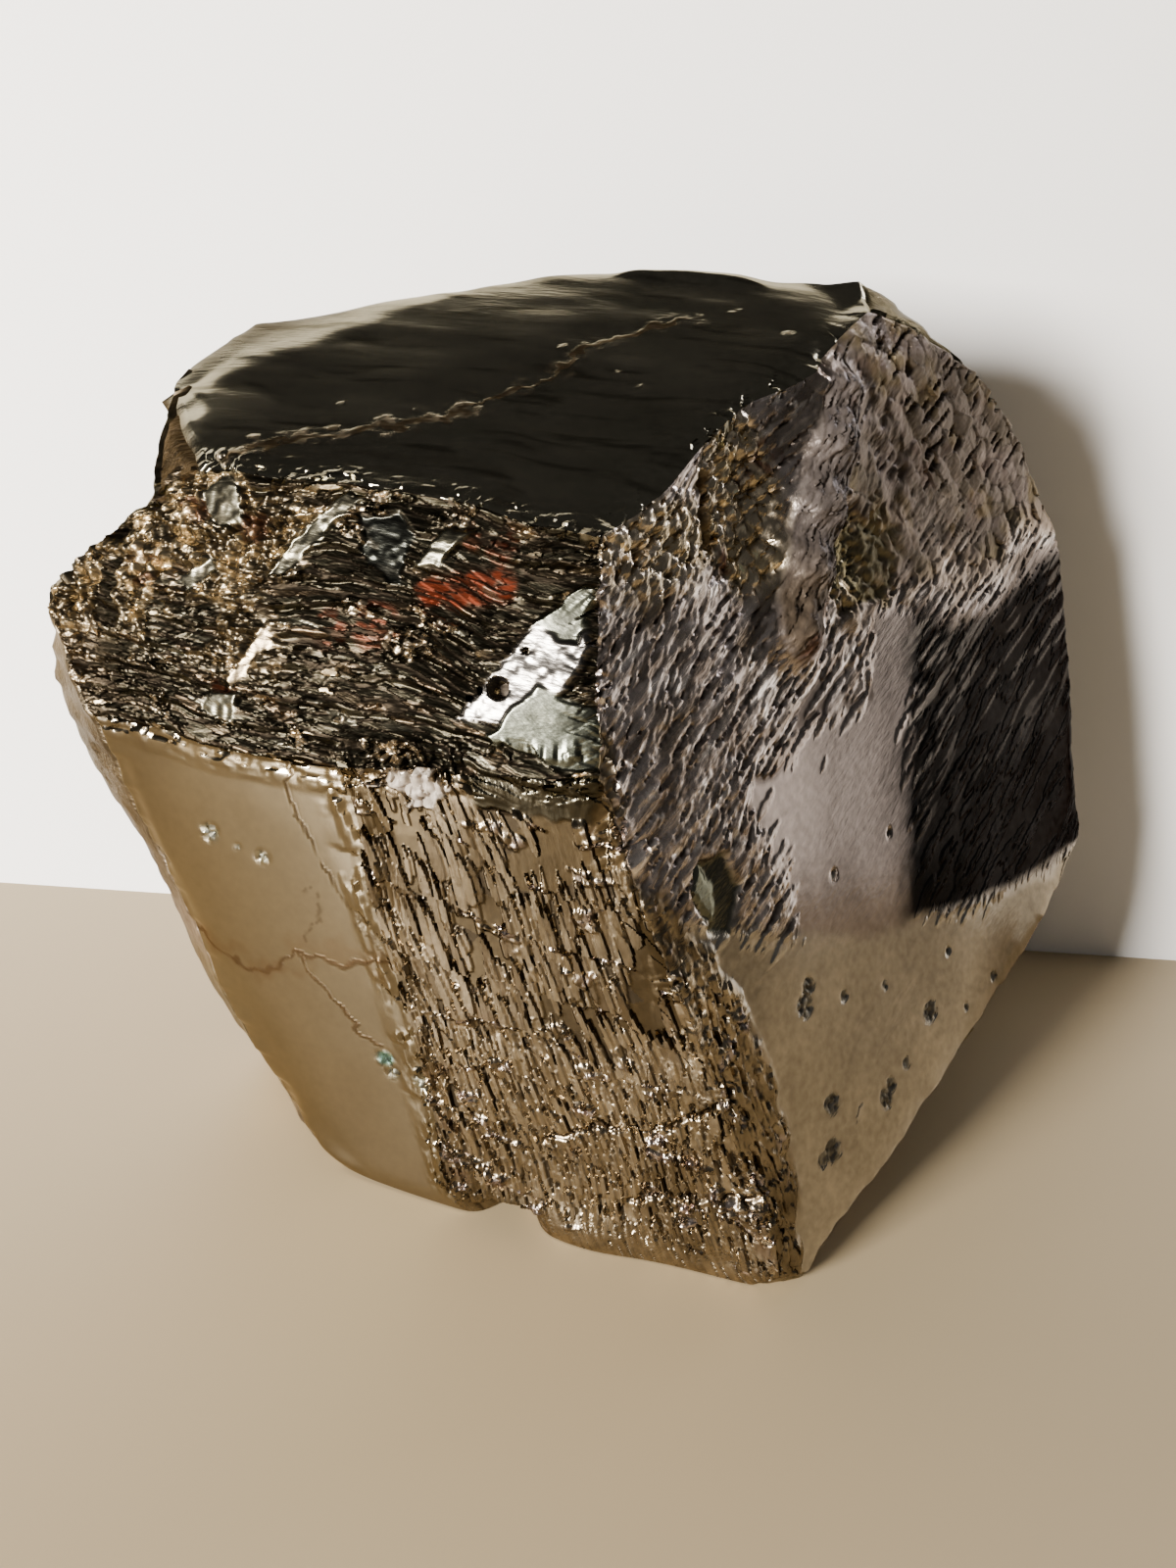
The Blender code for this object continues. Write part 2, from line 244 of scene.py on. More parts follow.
def crack(a, b, points, width, wobble=0.5, seed=5):
    """Mask of a wandering crack: 1 on the line, 0 a width away."""
    a2 = a + wobble * noise(a * 0.9, b * 0.9, seed)
    b2 = b + wobble * noise(a * 0.9, b * 0.9, seed + 1)
    return 1 - smooth(0.25 * width, width, line_distance(a2, b2, points))


def patch(a, b, corners, soft=0.25, ragged=0.4, seed=3):
    """Mask of a flat facet: inside every edge of a polygon whose corners run anticlockwise."""
    a = a + ragged * noise(a * 1.1, b * 1.1, seed)
    b = b + ragged * noise(a * 1.1, b * 1.1, seed + 1)
    inside = np.full(np.shape(a), 1e3)
    for (x0, y0), (x1, y1) in zip(corners, corners[1:] + corners[:1]):
        length = np.hypot(x1 - x0, y1 - y0)
        inside = np.minimum(inside, ((x1 - x0) * (b - y0) - (y1 - y0) * (a - x0)) / length)
    return smooth(-soft, soft, inside)


def spots(a, b, places):
    """Mask of round spots, each given by its place and radius."""
    mask = np.zeros(np.shape(a))
    for x, y, r in places:
        mask = np.maximum(mask, 1 - smooth(0.55 * r, r, np.hypot(a - x, b - y)))
    return mask


# ---------------------------------------------------------------- colours of the metal, in linear light

CHARCOAL = (0.20, 0.187, 0.142)
SHOULDER_BROWN = (0.047, 0.040, 0.031)
BRONZE = (0.24, 0.203, 0.140)
OLIVE_BRONZE = (0.085, 0.078, 0.056)
GOLD = (0.27, 0.222, 0.155)
DULL_GOLD = (0.13, 0.10, 0.065)
OLD_GOLD = (0.14, 0.11, 0.068)
DARK_BRASS = (0.09, 0.072, 0.046)
BRASS = (0.36, 0.285, 0.175)
STRAW = (0.38, 0.315, 0.22)
STEEL = (0.15, 0.155, 0.13)
SILVER = (0.42, 0.39, 0.37)
PINK_SILVER = (0.36, 0.31, 0.30)
# painted reflection: the dark that the right face's right part mirrors
PAINTED_DARK_REFLECTION = (0.0115, 0.0122, 0.0130)
OLIVE = (0.048, 0.043, 0.030)
UMBER = (0.065, 0.046, 0.028)
EARTH = (0.10, 0.078, 0.048)
# painted shade, laid in gaps, cracks, holes and hollows
PAINTED_GAP_SHADE = (0.026, 0.020, 0.014)
RUST = (0.085, 0.016, 0.007)
TEAL = (0.08, 0.20, 0.18)
CHALK = (0.33, 0.285, 0.240)
# upper left face
STAIR_BROWN = (0.022, 0.0195, 0.013)
STAIR_BLACK = (0.014, 0.012, 0.008)
STAIR_GREY = (0.10, 0.092, 0.066)
PALE_OLIVE = (0.085, 0.080, 0.058)
COPPER_FLAKE = (0.12, 0.092, 0.056)
DARK_FLAKE = (0.020, 0.021, 0.018)
SILVER_FLAKE = (0.155, 0.144, 0.132)
GREY_FLAKE = (0.065, 0.068, 0.052)
GREEN_FLAKE = (0.085, 0.090, 0.070)
# lower faces
GRAIN_BROWN = (0.15, 0.120, 0.090)
FACET_OLIVE = (0.045, 0.040, 0.028)
FACET_STREAK = (0.09, 0.082, 0.06)
CLOUD_BRONZE = (0.19, 0.158, 0.108)
SEAM_BROWN = (0.10, 0.062, 0.032)
STAIN_BROWN = (0.16, 0.10, 0.052)
EDGE_BRONZE = (0.15, 0.128, 0.096)
# right face
MAUVE = (0.33, 0.285, 0.265)
LILAC = (0.50, 0.43, 0.395)
PALE_LILAC = (0.50, 0.44, 0.42)
DIM_LILAC = (0.17, 0.137, 0.112)
BROWN_LILAC = (0.17, 0.137, 0.10)
BARK = (0.13, 0.098, 0.068)
LUMP_BROWN = (0.19, 0.155, 0.118)
LUMP_PALE = (0.30, 0.255, 0.220)
LUMP_OLIVE = (0.11, 0.095, 0.055)
SHALE = (0.115, 0.092, 0.073)
SHALE_GOLD = (0.175, 0.132, 0.066)
SHALE_LILAC = (0.24, 0.195, 0.175)
POCKET_OLIVE = (0.13, 0.115, 0.065)
SCRATCH_GREY = (0.12, 0.110, 0.102)
SCRATCH_PALE = (0.24, 0.215, 0.195)
# painted reflection of the pale floor, on the right face's lower part
PAINTED_FLOOR_REFLECTION = (0.435, 0.402, 0.350)
HUMP_MAUVE = (0.125, 0.105, 0.097)
HUMP_DIM = (0.08, 0.066, 0.058)
CRUMB_GOLD = (0.50, 0.42, 0.30)
CRUMB_BRIGHT = (0.55, 0.44, 0.27)
PRISM_SHADED_OLIVE = (0.10, 0.10, 0.075)
PRISM_LIT_OLIVE = (0.18, 0.185, 0.14)
PIT_GREY = (0.14, 0.14, 0.125)


class Skin:
    """What a face's relief function works out over its grid: height, colour and the finish masks."""

    def __init__(self, a, tone, polish=0.0):
        self.height = np.zeros(np.shape(a))
        self.tone = np.broadcast_to(np.array(tone, float), (*np.shape(a), 3)).copy()
        # cavity: painted shade in gaps, cracks, holes and hollows
        self.cavity = np.zeros(np.shape(a))
        # glint: painted highlights, where the colour is brightened
        self.glint = np.zeros(np.shape(a))
        self.polish = np.full(np.shape(a), float(polish))
        self.rust = np.zeros(np.shape(a))
        self.chalk = np.zeros(np.shape(a))

    def paint(self, mask, tone):
        """Lay a colour over the ones below, as strong as the mask."""
        self.tone += mask[..., None] * (np.array(tone) - self.tone)

    def bring(self, mask, **targets):
        """Bring the height or a finish mask to the value given for it, as far as the mask says."""
        for key, value in targets.items():
            now = getattr(self, key)
            setattr(self, key, now + mask * (value - now))

    def level(self, mask, height, polish):
        """Smooth facet: the given height and polish, without cavities or glints."""
        self.bring(mask, height=height, polish=polish, cavity=0.0, glint=0.0)


# ---------------------------------------------------------------- relief of the top face

TOP_CRACK = [(-28.5, 5.6), (-22, 9.5), (-16.1, 12), (-13.4, 13.7), (-9.4, 19.2), (-6.1, 22.3), (-5.9, 25.8),
             (-3.7, 28.9), (2.8, 34.7)]
# Spots are places and radii: right, up, radius.
TOP_FLECKS = [(2.0, 22.5, 0.6), (14.5, 33.5, 0.8), (12.0, 34.5, 0.5), (15.5, 26.5, 1.0), (-22.5, 15.5, 0.4),
              (6.6, 37.5, 0.6), (-0.5, 24.5, 0.4), (-7, 27.5, 0.4)]


def top_ground(s, a, b, shoulder):
    """Height of the top: a ledge at its back, less 0.7 at the left shoulder, plus slow noise and, near the
    front edge, fine scales."""
    ledge = 0.5 * smooth(41, 43.5, b + noise(a * 0.4, b * 0.4, 2)) * smooth(-8, -4, a) * smooth(-9, -5, -a)
    s.height = ledge - 0.7 * shoulder + 0.12 * noise(a * 0.07, b * 0.07, 4)
    s.height += 0.03 * noise(a * 0.2, b * 0.5, 6)
    near_front = 0.45 * smooth(5, 0, b - 1.0 + noise(a * 0.3, b * 0.3, 8)) * smooth(-37, -30, a)
    scales, _, rim, _ = shingles(a, b, 4, 3.6, 0.55, 21, rise=0.07, tip=0.05, fill=0.8)
    s.height += scales * near_front
    s.cavity = 0.3 * rim * near_front
    s.polish -= 0.7 * near_front


def top_tarnish(s, a, b, shoulder):
    """Colour of the top: olive and bronze level streaks, brown at the front, duller at the shoulder."""
    s.paint(0.55 * smooth(0.15, 0.7, layered(a * 0.16, b * 1.3, 35)), OLIVE)
    s.paint(0.16 * smooth(0.35, 0.8, layered(a * 0.22 + 9, b * 1.7, 37)), BRONZE)
    s.paint(0.7 * smooth(0.15, 0.95, shoulder + 0.1 * layered(a * 0.2, b * 0.5, 31)), SHOULDER_BROWN)
    s.paint(0.35 * smooth(0.2, 0.7, layered(a * 0.25, b * 1.2, 33)) * smooth(14, 2, b), UMBER)
    s.polish -= 0.2 * smooth(-0.2, 0.6, layered(a * 0.1, b * 0.3, 39))
    s.polish -= 0.6 * smooth(0.1, 0.6, shoulder) * smooth(-22, -30, a)


def golden_crack(s, a, b):
    """The crack across the top, a broken halo of bright grains along it, and a few flecks round about."""
    seam = crack(a, b, TOP_CRACK, 0.7, 0.9, 41)
    grains, _, grain_key = beads(a, b, 0.55, 43, rise=0.5, tip=0.7)
    halo = crack(a, b, TOP_CRACK, 1.5, 1.3, 45) * smooth(-0.4, 0.5, layered(a * 0.8, b * 0.8, 47))
    halo *= 0.35 + 0.65 * smooth(-6, -13, a)
    flecks = smooth(-0.35, 0.25, layered(a * 0.9, b * 0.9, 49)) * spots(a, b, TOP_FLECKS)
    s.paint(0.85 * np.maximum(seam, 0.7 * halo), UMBER)
    s.paint(0.6 * halo * smooth(0.55, 0.8, grain_key), GOLD)
    s.paint(0.6 * flecks, BRONZE)
    s.height += 0.05 * (halo + flecks) * grains - 0.03 * seam
    s.glint = 0.4 * flecks + 0.8 * halo * smooth(0.7, 0.85, grain_key)
    s.polish -= 0.8 * np.clip(halo + flecks + 0.8 * seam, 0, 1)


def top_skin(a, b):
    """Dark, nearly flat face: faint level streaks and flecks, a golden crack, a broken back ledge."""
    s = Skin(a, CHARCOAL, polish=0.9)
    shoulder = smooth(5.5, 15, -a * 0.75 + b * 0.6 - 30)
    top_ground(s, a, b, shoulder)
    top_tarnish(s, a, b, shoulder)
    golden_crack(s, a, b)
    return s


# ---------------------------------------------------------------- relief of the upper left face

TERRACE_PITCH = 2.3
# Smooth flakes over the stair: corners, then level, slope to the right, slope upward, and colour.
FLAKES = [
    ([(-15.8, 19.0), (-19.6, 15.2), (-21.6, 11.8), (-20.4, 11.6), (-18.2, 14.0), (-14.4, 18.2)],
     0.45, 0.03, 0.0, PALE_OLIVE),
    ([(-20.3, 8.2), (-23.6, 3.2), (-22.8, 2.4), (-19.6, 6.8)], 0.4, 0.0, 0.04, COPPER_FLAKE),
    ([(-24.8, 2.2), (-25.6, 0.4), (-22.2, 0.2), (-21.8, 2.6)], 0.4, 0.05, 0.08, PALE_OLIVE),
    ([(-26.6, 12.6), (-29.4, 10.2), (-28.2, 9.8), (-25.6, 11.6)], 0.4, 0.05, 0.0, PALE_OLIVE),
    ([(-9.6, 14.2), (-7.2, 14.6), (-5.4, 17.6), (-7.6, 17.2)], 0.5, 0.02, 0.05, PALE_OLIVE),
    ([(-29.0, 17.2), (-27.4, 15.0), (-24.4, 15.6), (-25.0, 18.6), (-26.6, 19.4)],
     0.5, 0.05, 0.06, PALE_OLIVE),
    ([(-14.6, 17.2), (-13.2, 13.4), (-10.2, 12.6), (-9.8, 16.6), (-11.5, 18.0)],
     -0.1, 0.04, -0.06, DARK_FLAKE),
    ([(-3.6, 3.4), (1.0, 3.9), (4.4, 7.4), (5.8, 10.4), (4.2, 12.6), (1.4, 12.0), (-1.0, 7.8)],
     0.35, 0.05, 0.0, SILVER_FLAKE),
    ([(1.2, 11.8), (4.8, 10.6), (5.4, 14.6), (4.4, 14.8)], 0.72, -0.06, 0.12, GREY_FLAKE),
    ([(-0.9, 2.6), (8.9, 1.6), (8.6, 5.4), (2.6, 7.4)], 0.71, -0.11, 0.11, GREEN_FLAKE),
]
FLAT_FLAKE = 0.7            # flakes at this level or above it have no waves
FLAKE_HOLES = [(-0.4, 6.7, 0.95), (-1.9, 6.2, 0.35), (1.2, 9.8, 0.3), (-2.7, 5.4, 0.3)]
RED_RUST = [(-1.8, 14.3, 1.7), (-3.6, 13.7, 1.9), (-5.6, 13.0, 1.9), (-7.6, 12.6, 1.6)]
FAINT_RUST = [(-24, 15.8, 2.6), (-29, 16.2, 2.0), (-11.5, 9.0, 2.6), (-15.5, 8.0, 2.0), (-23.5, 2.2, 1.5),
              (-2.5, 17.0, 1.6), (-5.0, 17.4, 1.4), (-33, 11, 2.0)]


def stair(s, a, b):
    """Growth terraces: each rises over a fifth of its pitch and falls back over the rest, overlaid with
    long platelets and, in rough patches, short ones. Returns the long platelets' height."""
    b2 = b + 0.6 * noise(a * 0.09, b * 0.1, 51) + 0.2 * noise(a * 0.5, b * 0.5, 52)
    turn = b2 / TERRACE_PITCH
    climb = turn - np.floor(turn)
    rise = 0.42 + 0.12 * noise(a * 0.16, b * 0.16, 53)
    long_, bare, rim, key = shingles(a, b2, 175, 2.3, 0.62, 54, rise=0.26, tip=0.14, fill=0.97, ramp=0.35,
                                     blunt=0.6)
    short, gap, short_rim, short_key = shingles(a, b, 193, 1.2, 0.52, 58, rise=0.26, tip=0.6, fill=0.75)
    rough = smooth(0.0, 0.3, layered(a * 0.16, b * 0.35, 56))
    s.height = rise * np.minimum((1 - climb) / 0.8, climb / 0.2) - 0.2
    s.height += np.where(rough * short > 0.5 * long_, rough * short, 0) + long_ * (1 - 0.3 * rough)
    s.cavity = np.clip(0.9 * bare + 0.9 * rim + 0.5 * short_rim * rough, 0, 1)
    s.paint(0.8 * smooth(0.80, 0.88, again(key, 8)), UMBER)
    s.paint(0.7 * smooth(0.90, 0.95, again(key, 9)), STAIR_GREY)
    s.paint(0.75 * smooth(0.5, 0.3, again(key, 4)), STAIR_BLACK)
    s.paint(0.9 * rough * smooth(0.68, 0.76, short_key) * (1 - gap), OLD_GOLD)
    s.glint = rough * smooth(0.68, 0.72, short_key) * (1 - gap)
    return long_


def golden_facets(s, a, b, platelets):
    """Golden crystals packed over the left of the stair, and finer ones scattered in patches over it."""
    lumps, lump_gap, lump_key = beads(a, b, 0.9, 59, rise=0.6, tip=0.5)
    grains, grain_gap, grain_key = beads(a, b, 0.5, 159, rise=0.6, tip=0.7)
    left = smooth(-17, -24, a + 3 * noise(a * 0.2, b * 0.2, 64))
    left *= smooth(3, 8, b + 2 * noise(a * 0.2, b * 0.2, 66))
    packed = left * smooth(-0.35, 0.0, layered(a * 0.3, b * 0.3, 60))
    s.height += packed * (lumps + 0.5 * grains - 0.6 * platelets)
    s.bring(packed, cavity=0.9 * lump_gap)
    s.paint(packed, DARK_BRASS)
    s.paint(packed * smooth(0.55, 0.7, lump_key), BRASS)
    bright = packed * smooth(0.72, 0.8, grain_key) * smooth(0.3, 0.5, lump_key)
    s.glint = np.maximum(s.glint * (1 - packed), bright)
    scattered = smooth(0.30, 0.42, layered(a * 0.30, b * 0.5, 61)) * (1 - left)
    s.height += 0.8 * scattered * grains
    s.bring(scattered, cavity=0.8 * grain_gap)
    s.paint(scattered * 0.8 * smooth(0.5, 0.7, grain_key), GOLD)
    s.glint = np.maximum(s.glint, scattered * smooth(0.75, 0.85, grain_key))


def silvery_flakes(s, a, b):
    """Flat flakes, each a polygon at level + slope right (a - a0) + slope up (b - b0), where (a0, b0) is
    its first corner. Rust stops at them, and small holes go through the silver one."""
    wave = 0.05 * noise(a * 0.5, b * 0.5, 62) + 0.04 * noise(a * 1.8, b * 1.8, 63)
    for corners, level, slope_right, slope_up, tone in FLAKES:
        flake = patch(a, b, corners, ragged=0.25)
        slope = slope_right * (a - corners[0][0]) + slope_up * (b - corners[0][1])
        s.level(flake, level + slope + wave * (level < FLAT_FLAKE), polish=0.6)
        s.rust *= 1 - flake
        s.paint(flake * 0.9, tone)
    hole = spots(a, b, FLAKE_HOLES)
    s.height -= 1.5 * hole
    s.cavity = np.maximum(s.cavity, hole)


def upper_left_skin(a, b):
    """Dark stair of growth terraces, thick with small golden facets to the left, silvery flakes, rust."""
    s = Skin(a, STAIR_BROWN, polish=0.15)
    platelets = stair(s, a, b)
    golden_facets(s, a, b, platelets)
    blotch = smooth(-0.2, 0.2, layered(a * 0.7, b * 1.3, 57))
    s.rust = spots(a, b, RED_RUST) * (0.45 + 0.65 * blotch) + 0.4 * spots(a, b, FAINT_RUST) * blotch
    s.rust = np.clip(s.rust, 0, 1)
    silvery_flakes(s, a, b)
    s.paint(0.6 * smooth(-33, -39, a) * smooth(9, 2, b), UMBER)
    return s


# ---------------------------------------------------------------- relief of the two lower faces

CLEAN_FACET = [(-2.6, 4.4), (6.2, 4.6), (6.8, 9.6), (-3.5, 7.6)]
FROST = [(-10.6, 4.6), (-8.0, 2.6), (-5.6, 3.4), (-4.9, 5.6), (-7.6, 6.4)]
SHINE = [(-15.0, 6.4), (-11.5, 4.2), (-8.5, 6.2), (-10.0, 7.6), (-14.0, 7.6)]
LONG_SEAM = [(3.2, -27), (7.8, -24.2), (13, -22.6), (18, -18.3), (22.5, -15.4)]
SHORT_SEAM = [(11, -31.5), (15, -29.5), (22, -27)]
LEDGE_PITCH = 5.2
HAIR_CRACK = [(-17.4, 6.4), (-16.8, 3.4), (-16.9, 0.6), (-15.4, -1.2), (-13.5, -5.0)]
HAIR_END = [(-13.5, -5.0), (-12.2, -7.8), (-9.4, -10.6)]
BROWN_SEAM = [(-31, -14.4), (-29.8, -14.9), (-25, -16.4), (-21, -16.3), (-17.8, -13.4), (-13, -13.2),
              (-8.4, -11.0)]
SEAM_BRANCH = [(-17.8, -13.4), (-15.5, -16.2), (-13.8, -18.6), (-9.9, -21.5)]
FINE_CRACK = [(-16.6, -11.8), (-15.0, -9.0), (-15.8, -6.4)]
STAIN_LINE = [(-31, -14.6), (-21, -16.2), (-17.8, -13.4), (-8.4, -11)]
INCLUSIONS = [(-25.3, -3.2, 1.15), (-20.3, -4.3, 0.8), (-9.9, -22.2, 1.1), (-9.2, -23.6, 0.8),
              (-6.4, -23.3, 1.2), (-5.0, -24.2, 1.1), (-3.6, -25.4, 0.9), (-22.6, -3.9, 0.35)]
GREEN_INCLUSION = [(-9.9, -22.2, 1.0)]


def windows(a, b):
    """Mask of the smooth windows between the platelets: about half of some angular cells."""
    _, key, _, _ = cells(a / 4.2 + 0.25 * b / 4.2, b / 3.4, 61, 4.0)
    return smooth(0.52, 0.54, key) * smooth(-17, -12, b)


def clean_facet(a, b):
    """Mask of the smooth olive facet under the upper edge."""
    return patch(a, b, CLEAN_FACET, 0.3, 0.3)


def crowded(a, b):
    """How thickly the platelets stand on the lower middle face: hardly any in windows and clean facet."""
    return (1 - 0.93 * windows(a, b)) * (1 - clean_facet(a, b))


def ragged_edge(a, b):
    """How thickly they stand on the lower left face: from none to full across its slanting right edge."""
    return smooth(-12.5, -7.0, a + 0.24 * b + 1.2 * noise(a * 0.4, b * 0.2, 86))


def etch(s, a, b, low, mask, crowd, seed):
    """Lay steep spear-shaped platelets over a skin: golden with painted shade at their rims, long ones where
    low is 0 and short ones where it is 1. Returns where they lie."""
    high, bare, rim, key = shingles(a, b, 110, 3.2, 0.66, seed, rise=0.50, tip=0.12, fill=0.88, ramp=0.25,
                                    density=crowd)
    thin, thin_bare, thin_rim, thin_key = shingles(a, b, 107, 1.9, 0.44, seed + 3, rise=0.38, tip=0.18,
                                                   fill=0.85, ramp=0.25, density=crowd)
    tall, fine = high * (1 - 0.75 * low), thin * (0.45 + 0.8 * low)
    s.height += mask * np.maximum(tall, fine)
    covered = mask * (1 - bare * thin_bare)
    which, line = np.where(tall >= fine, key, thin_key), np.where(tall >= fine, rim, thin_rim)
    s.paint(covered, GOLD)
    s.paint(0.7 * covered * smooth(0.42, 0.3, again(which, 8)), DULL_GOLD)
    s.paint(0.55 * covered * smooth(0.72, 0.85, again(which, 9)), STRAW)
    s.paint(0.35 * covered * low, STRAW)
    s.paint(0.5 * covered * smooth(-0.1, 0.5, layered(a * 0.14, b * 0.14, 77)), EARTH)
    s.bring(covered, cavity=0.7 * line)
    s.polish -= 0.3 * covered
    return covered


def bright_grains(s, a, b, grains, gap, key):
    """Level ledges, a saw of height 1/2 - climb, with rows of bright grains on them and bunches between."""
    ledge = (b + 1.4 * noise(a * 0.22, b * 0.1, 71) + 0.18 * a) / LEDGE_PITCH
    climb = ledge - np.floor(ledge)
    row = smooth(0.07, 0.02, np.abs(climb - 0.96)) * smooth(0.15, 0.35, layered(a * 0.5, b * 0.3, 72))
    bunch = smooth(0.42, 0.54, layered(a * 0.3, b * 0.55, 75)) * (0.35 + 0.4 * smooth(-14, -24, b))
    cluster = np.clip(row + bunch, 0, 1) * (1 - smooth(3, 5, b))
    s.height += 0.45 * (0.5 - climb) + cluster * (grains + 0.1)
    s.bring(cluster, cavity=0.85 * gap)
    s.paint(cluster * 0.8, GRAIN_BROWN)
    s.paint(cluster * 0.9 * smooth(0.6, 0.75, key), PINK_SILVER)
    s.glint = 0.6 * cluster * smooth(0.75, 0.88, key)


def olive_facet(s, a, b):
    """The smooth facet under the upper edge, faintly streaked."""
    facet = clean_facet(a, b)
    s.level(facet, 0.15, polish=0.6)
    s.paint(facet, FACET_OLIVE)
    s.paint(0.5 * facet * smooth(-0.2, 0.6, noise(a * 3.0, b * 0.5, 79)), FACET_STREAK)


def frosted_patch(s, a, b, grains, gap):
    """A chalky frost of grains at the upper edge, beside a patch of shining chips."""
    frost, shine = patch(a, b, FROST, 0.35, 0.9), patch(a, b, SHINE, 0.4, 0.9)
    chips, _, chip_rim, chip_key = shingles(a, b, 25, 1.6, 0.8, 81, rise=0.5, tip=0.5, fill=0.95)
    s.level(np.maximum(frost, shine), 0.2 + chips, polish=0.5)
    s.height += frost * (1.2 * grains - chips)
    s.paint(frost, CHALK)
    s.paint(shine * smooth(0.2, 0.5, chip_key), SILVER)
    s.cavity = np.maximum(s.cavity, 0.8 * shine * chip_rim + 0.35 * frost * gap)
    s.chalk = frost
    s.glint = np.maximum(s.glint, shine * smooth(0.6, 0.8, chip_key))


def lower_middle_skin(a, b):
    """Golden etched face: steep spear-shaped platelets with painted shade in their gaps, smooth brown
    windows between them, finer below, with level ledges, bright grains and thin cracks."""
    s = Skin(a, EARTH, polish=0.9)
    low = smooth(-13, -21, b + 2 * noise(a * 0.2, b * 0.2, 70))
    covered = etch(s, a, b, low, 1.0, crowded, 64)
    s.paint(0.3 * covered * smooth(-10, -3, b), EARTH)
    s.cavity = np.maximum(s.cavity, 0.8 * (1 - covered) * (1 - windows(a, b)))
    grains, gap, key = beads(a, b, 0.74, 73, rise=0.5, tip=0.7)
    bright_grains(s, a, b, grains, gap, key)
    seams = np.maximum(crack(a, b, LONG_SEAM, 0.45), crack(a, b, SHORT_SEAM, 0.4))
    s.height -= 0.3 * seams
    s.paint(seams * 0.8, UMBER)
    s.rust = 0.25 * smooth(0.35, 0.8, layered(a * 0.3, b * 0.4, 78)) * smooth(-10, -20, b)
    olive_facet(s, a, b)
    frosted_patch(s, a, b, grains, gap)
    toe = smooth(-33.5, -36.5, b)
    s.height *= 1 - 0.6 * toe
    s.cavity *= 1 - 0.5 * toe
    return s


def mirror_cracks(s, a, b):
    """Hairline cracks and a brown seam across the mirror, with a stain along it."""
    hair = np.maximum(crack(a, b, HAIR_CRACK, 0.22, 0.5), 0.6 * crack(a, b, HAIR_END, 0.2, 0.6))
    seam = np.maximum(crack(a, b, BROWN_SEAM, 0.34, 0.6), crack(a, b, SEAM_BRANCH, 0.22, 0.6))
    s.height -= 0.02 * np.maximum(hair, seam)
    s.paint(0.8 * np.maximum(hair, 0.7 * crack(a, b, FINE_CRACK, 0.16, 0.8)), UMBER)
    s.paint(0.8 * seam, SEAM_BROWN)
    s.polish -= 0.5 * np.maximum(hair, seam)
    stain = crack(a, b, STAIN_LINE, 1.9, 1.2) * smooth(-0.5, 0.4, layered(a * 0.5, b * 0.5, 90))
    s.paint(0.30 * stain, STAIN_BROWN)


def inclusions(s, a, b):
    """Small sunken inclusions, each full of crumbs, one of them blue-green."""
    holes = spots(a, b, INCLUSIONS)
    crumbs, gap, key = beads(a, b, 0.55, 91, rise=0.6, tip=0.8)
    s.height += holes * (crumbs - 0.35)
    s.paint(holes * 0.8, STEEL)
    s.paint(spots(a, b, GREEN_INCLUSION) * 0.7, TEAL)
    s.glint = holes * smooth(0.4, 0.8, key)
    s.cavity = np.maximum(s.cavity, holes * gap)
    s.polish -= 0.6 * holes


def lower_left_skin(a, b):
    """Smooth tan mirror with hairline cracks, brown seams and a few sunken inclusions."""
    s = Skin(a, BRONZE, polish=1.0)
    s.height = 0.22 * noise(a * 0.05, b * 0.05, 83) + 0.012 * noise(a * 0.3, b * 0.25, 84)
    edge = ragged_edge(a, b)
    covered = etch(s, a, b, smooth(-13, -21, b), 1.0, ragged_edge, 85)
    s.cavity = np.maximum(s.cavity, 0.75 * (1 - covered) * smooth(0.6, 0.95, edge))
    s.polish -= 0.2 * smooth(0.1, 0.5, edge)
    s.paint(0.75 * covered * (1 - smooth(0.3, 0.9, edge)), BRONZE)
    s.paint(0.35 * smooth(-0.2, 0.7, layered(a * 0.09, b * 0.06, 88)) * (1 - covered), CLOUD_BRONZE)
    s.paint(0.6 * smooth(1, 8, b + noise(a * 0.2, b * 0.2, 89)) * (1 - 0.5 * covered), EARTH)
    mirror_cracks(s, a, b)
    inclusions(s, a, b)
    s.paint(0.4 * smooth(-29, -36, a - 0.25 * b - 3), EDGE_BRONZE)
    return s


# ---------------------------------------------------------------- relief of the right face

FLOOR_REFLECTION_EDGE = np.array([0.0046, -0.45, -11.5])     # upper edge of the smooth ground with the painted floor reflection: b as a curve in a
BAY = [(24.5, -1.0), (31.0, -2.0), (33.5, 4.0), (31.5, 11.0), (27.5, 9.0), (25.5, 4.0)]
POCKET = [(18.5, 15.0), (22.0, 9.5), (28.5, 9.5), (31.0, 16.0), (26.0, 19.0)]
HUMP_TOP, HUMP_FOOT = np.array([27.0, 31.0]), np.array([14.0, 7.5])
HUMP_HALF = 3.2             # half width of the hump
HUMP_HEIGHT = 2.3
HUMP_LOBE = 6.0             # length of each lobe along it
HOLLOW_DEPTH = 2.2
RUST_SPOTS = [(16.4, 23.6, 2.0), (13.6, 22.0, 1.2), (9.0, 16.0, 1.4)]
HUMP_FOOT_RUST = [(15.6, 7.6, 1.8)]
SLOT_AT = (7.6, 20.0)
PRISM = [(-0.7, -5.9), (-2.1, -8.1), (0.0, -11.8), (2.0, -12.8), (3.7, -9.0), (2.2, -6.2)]
PRISM_LEFT = [(-0.5, -6.3), (-1.7, -8.2), (0.2, -11.6), (1.0, -8.8)]
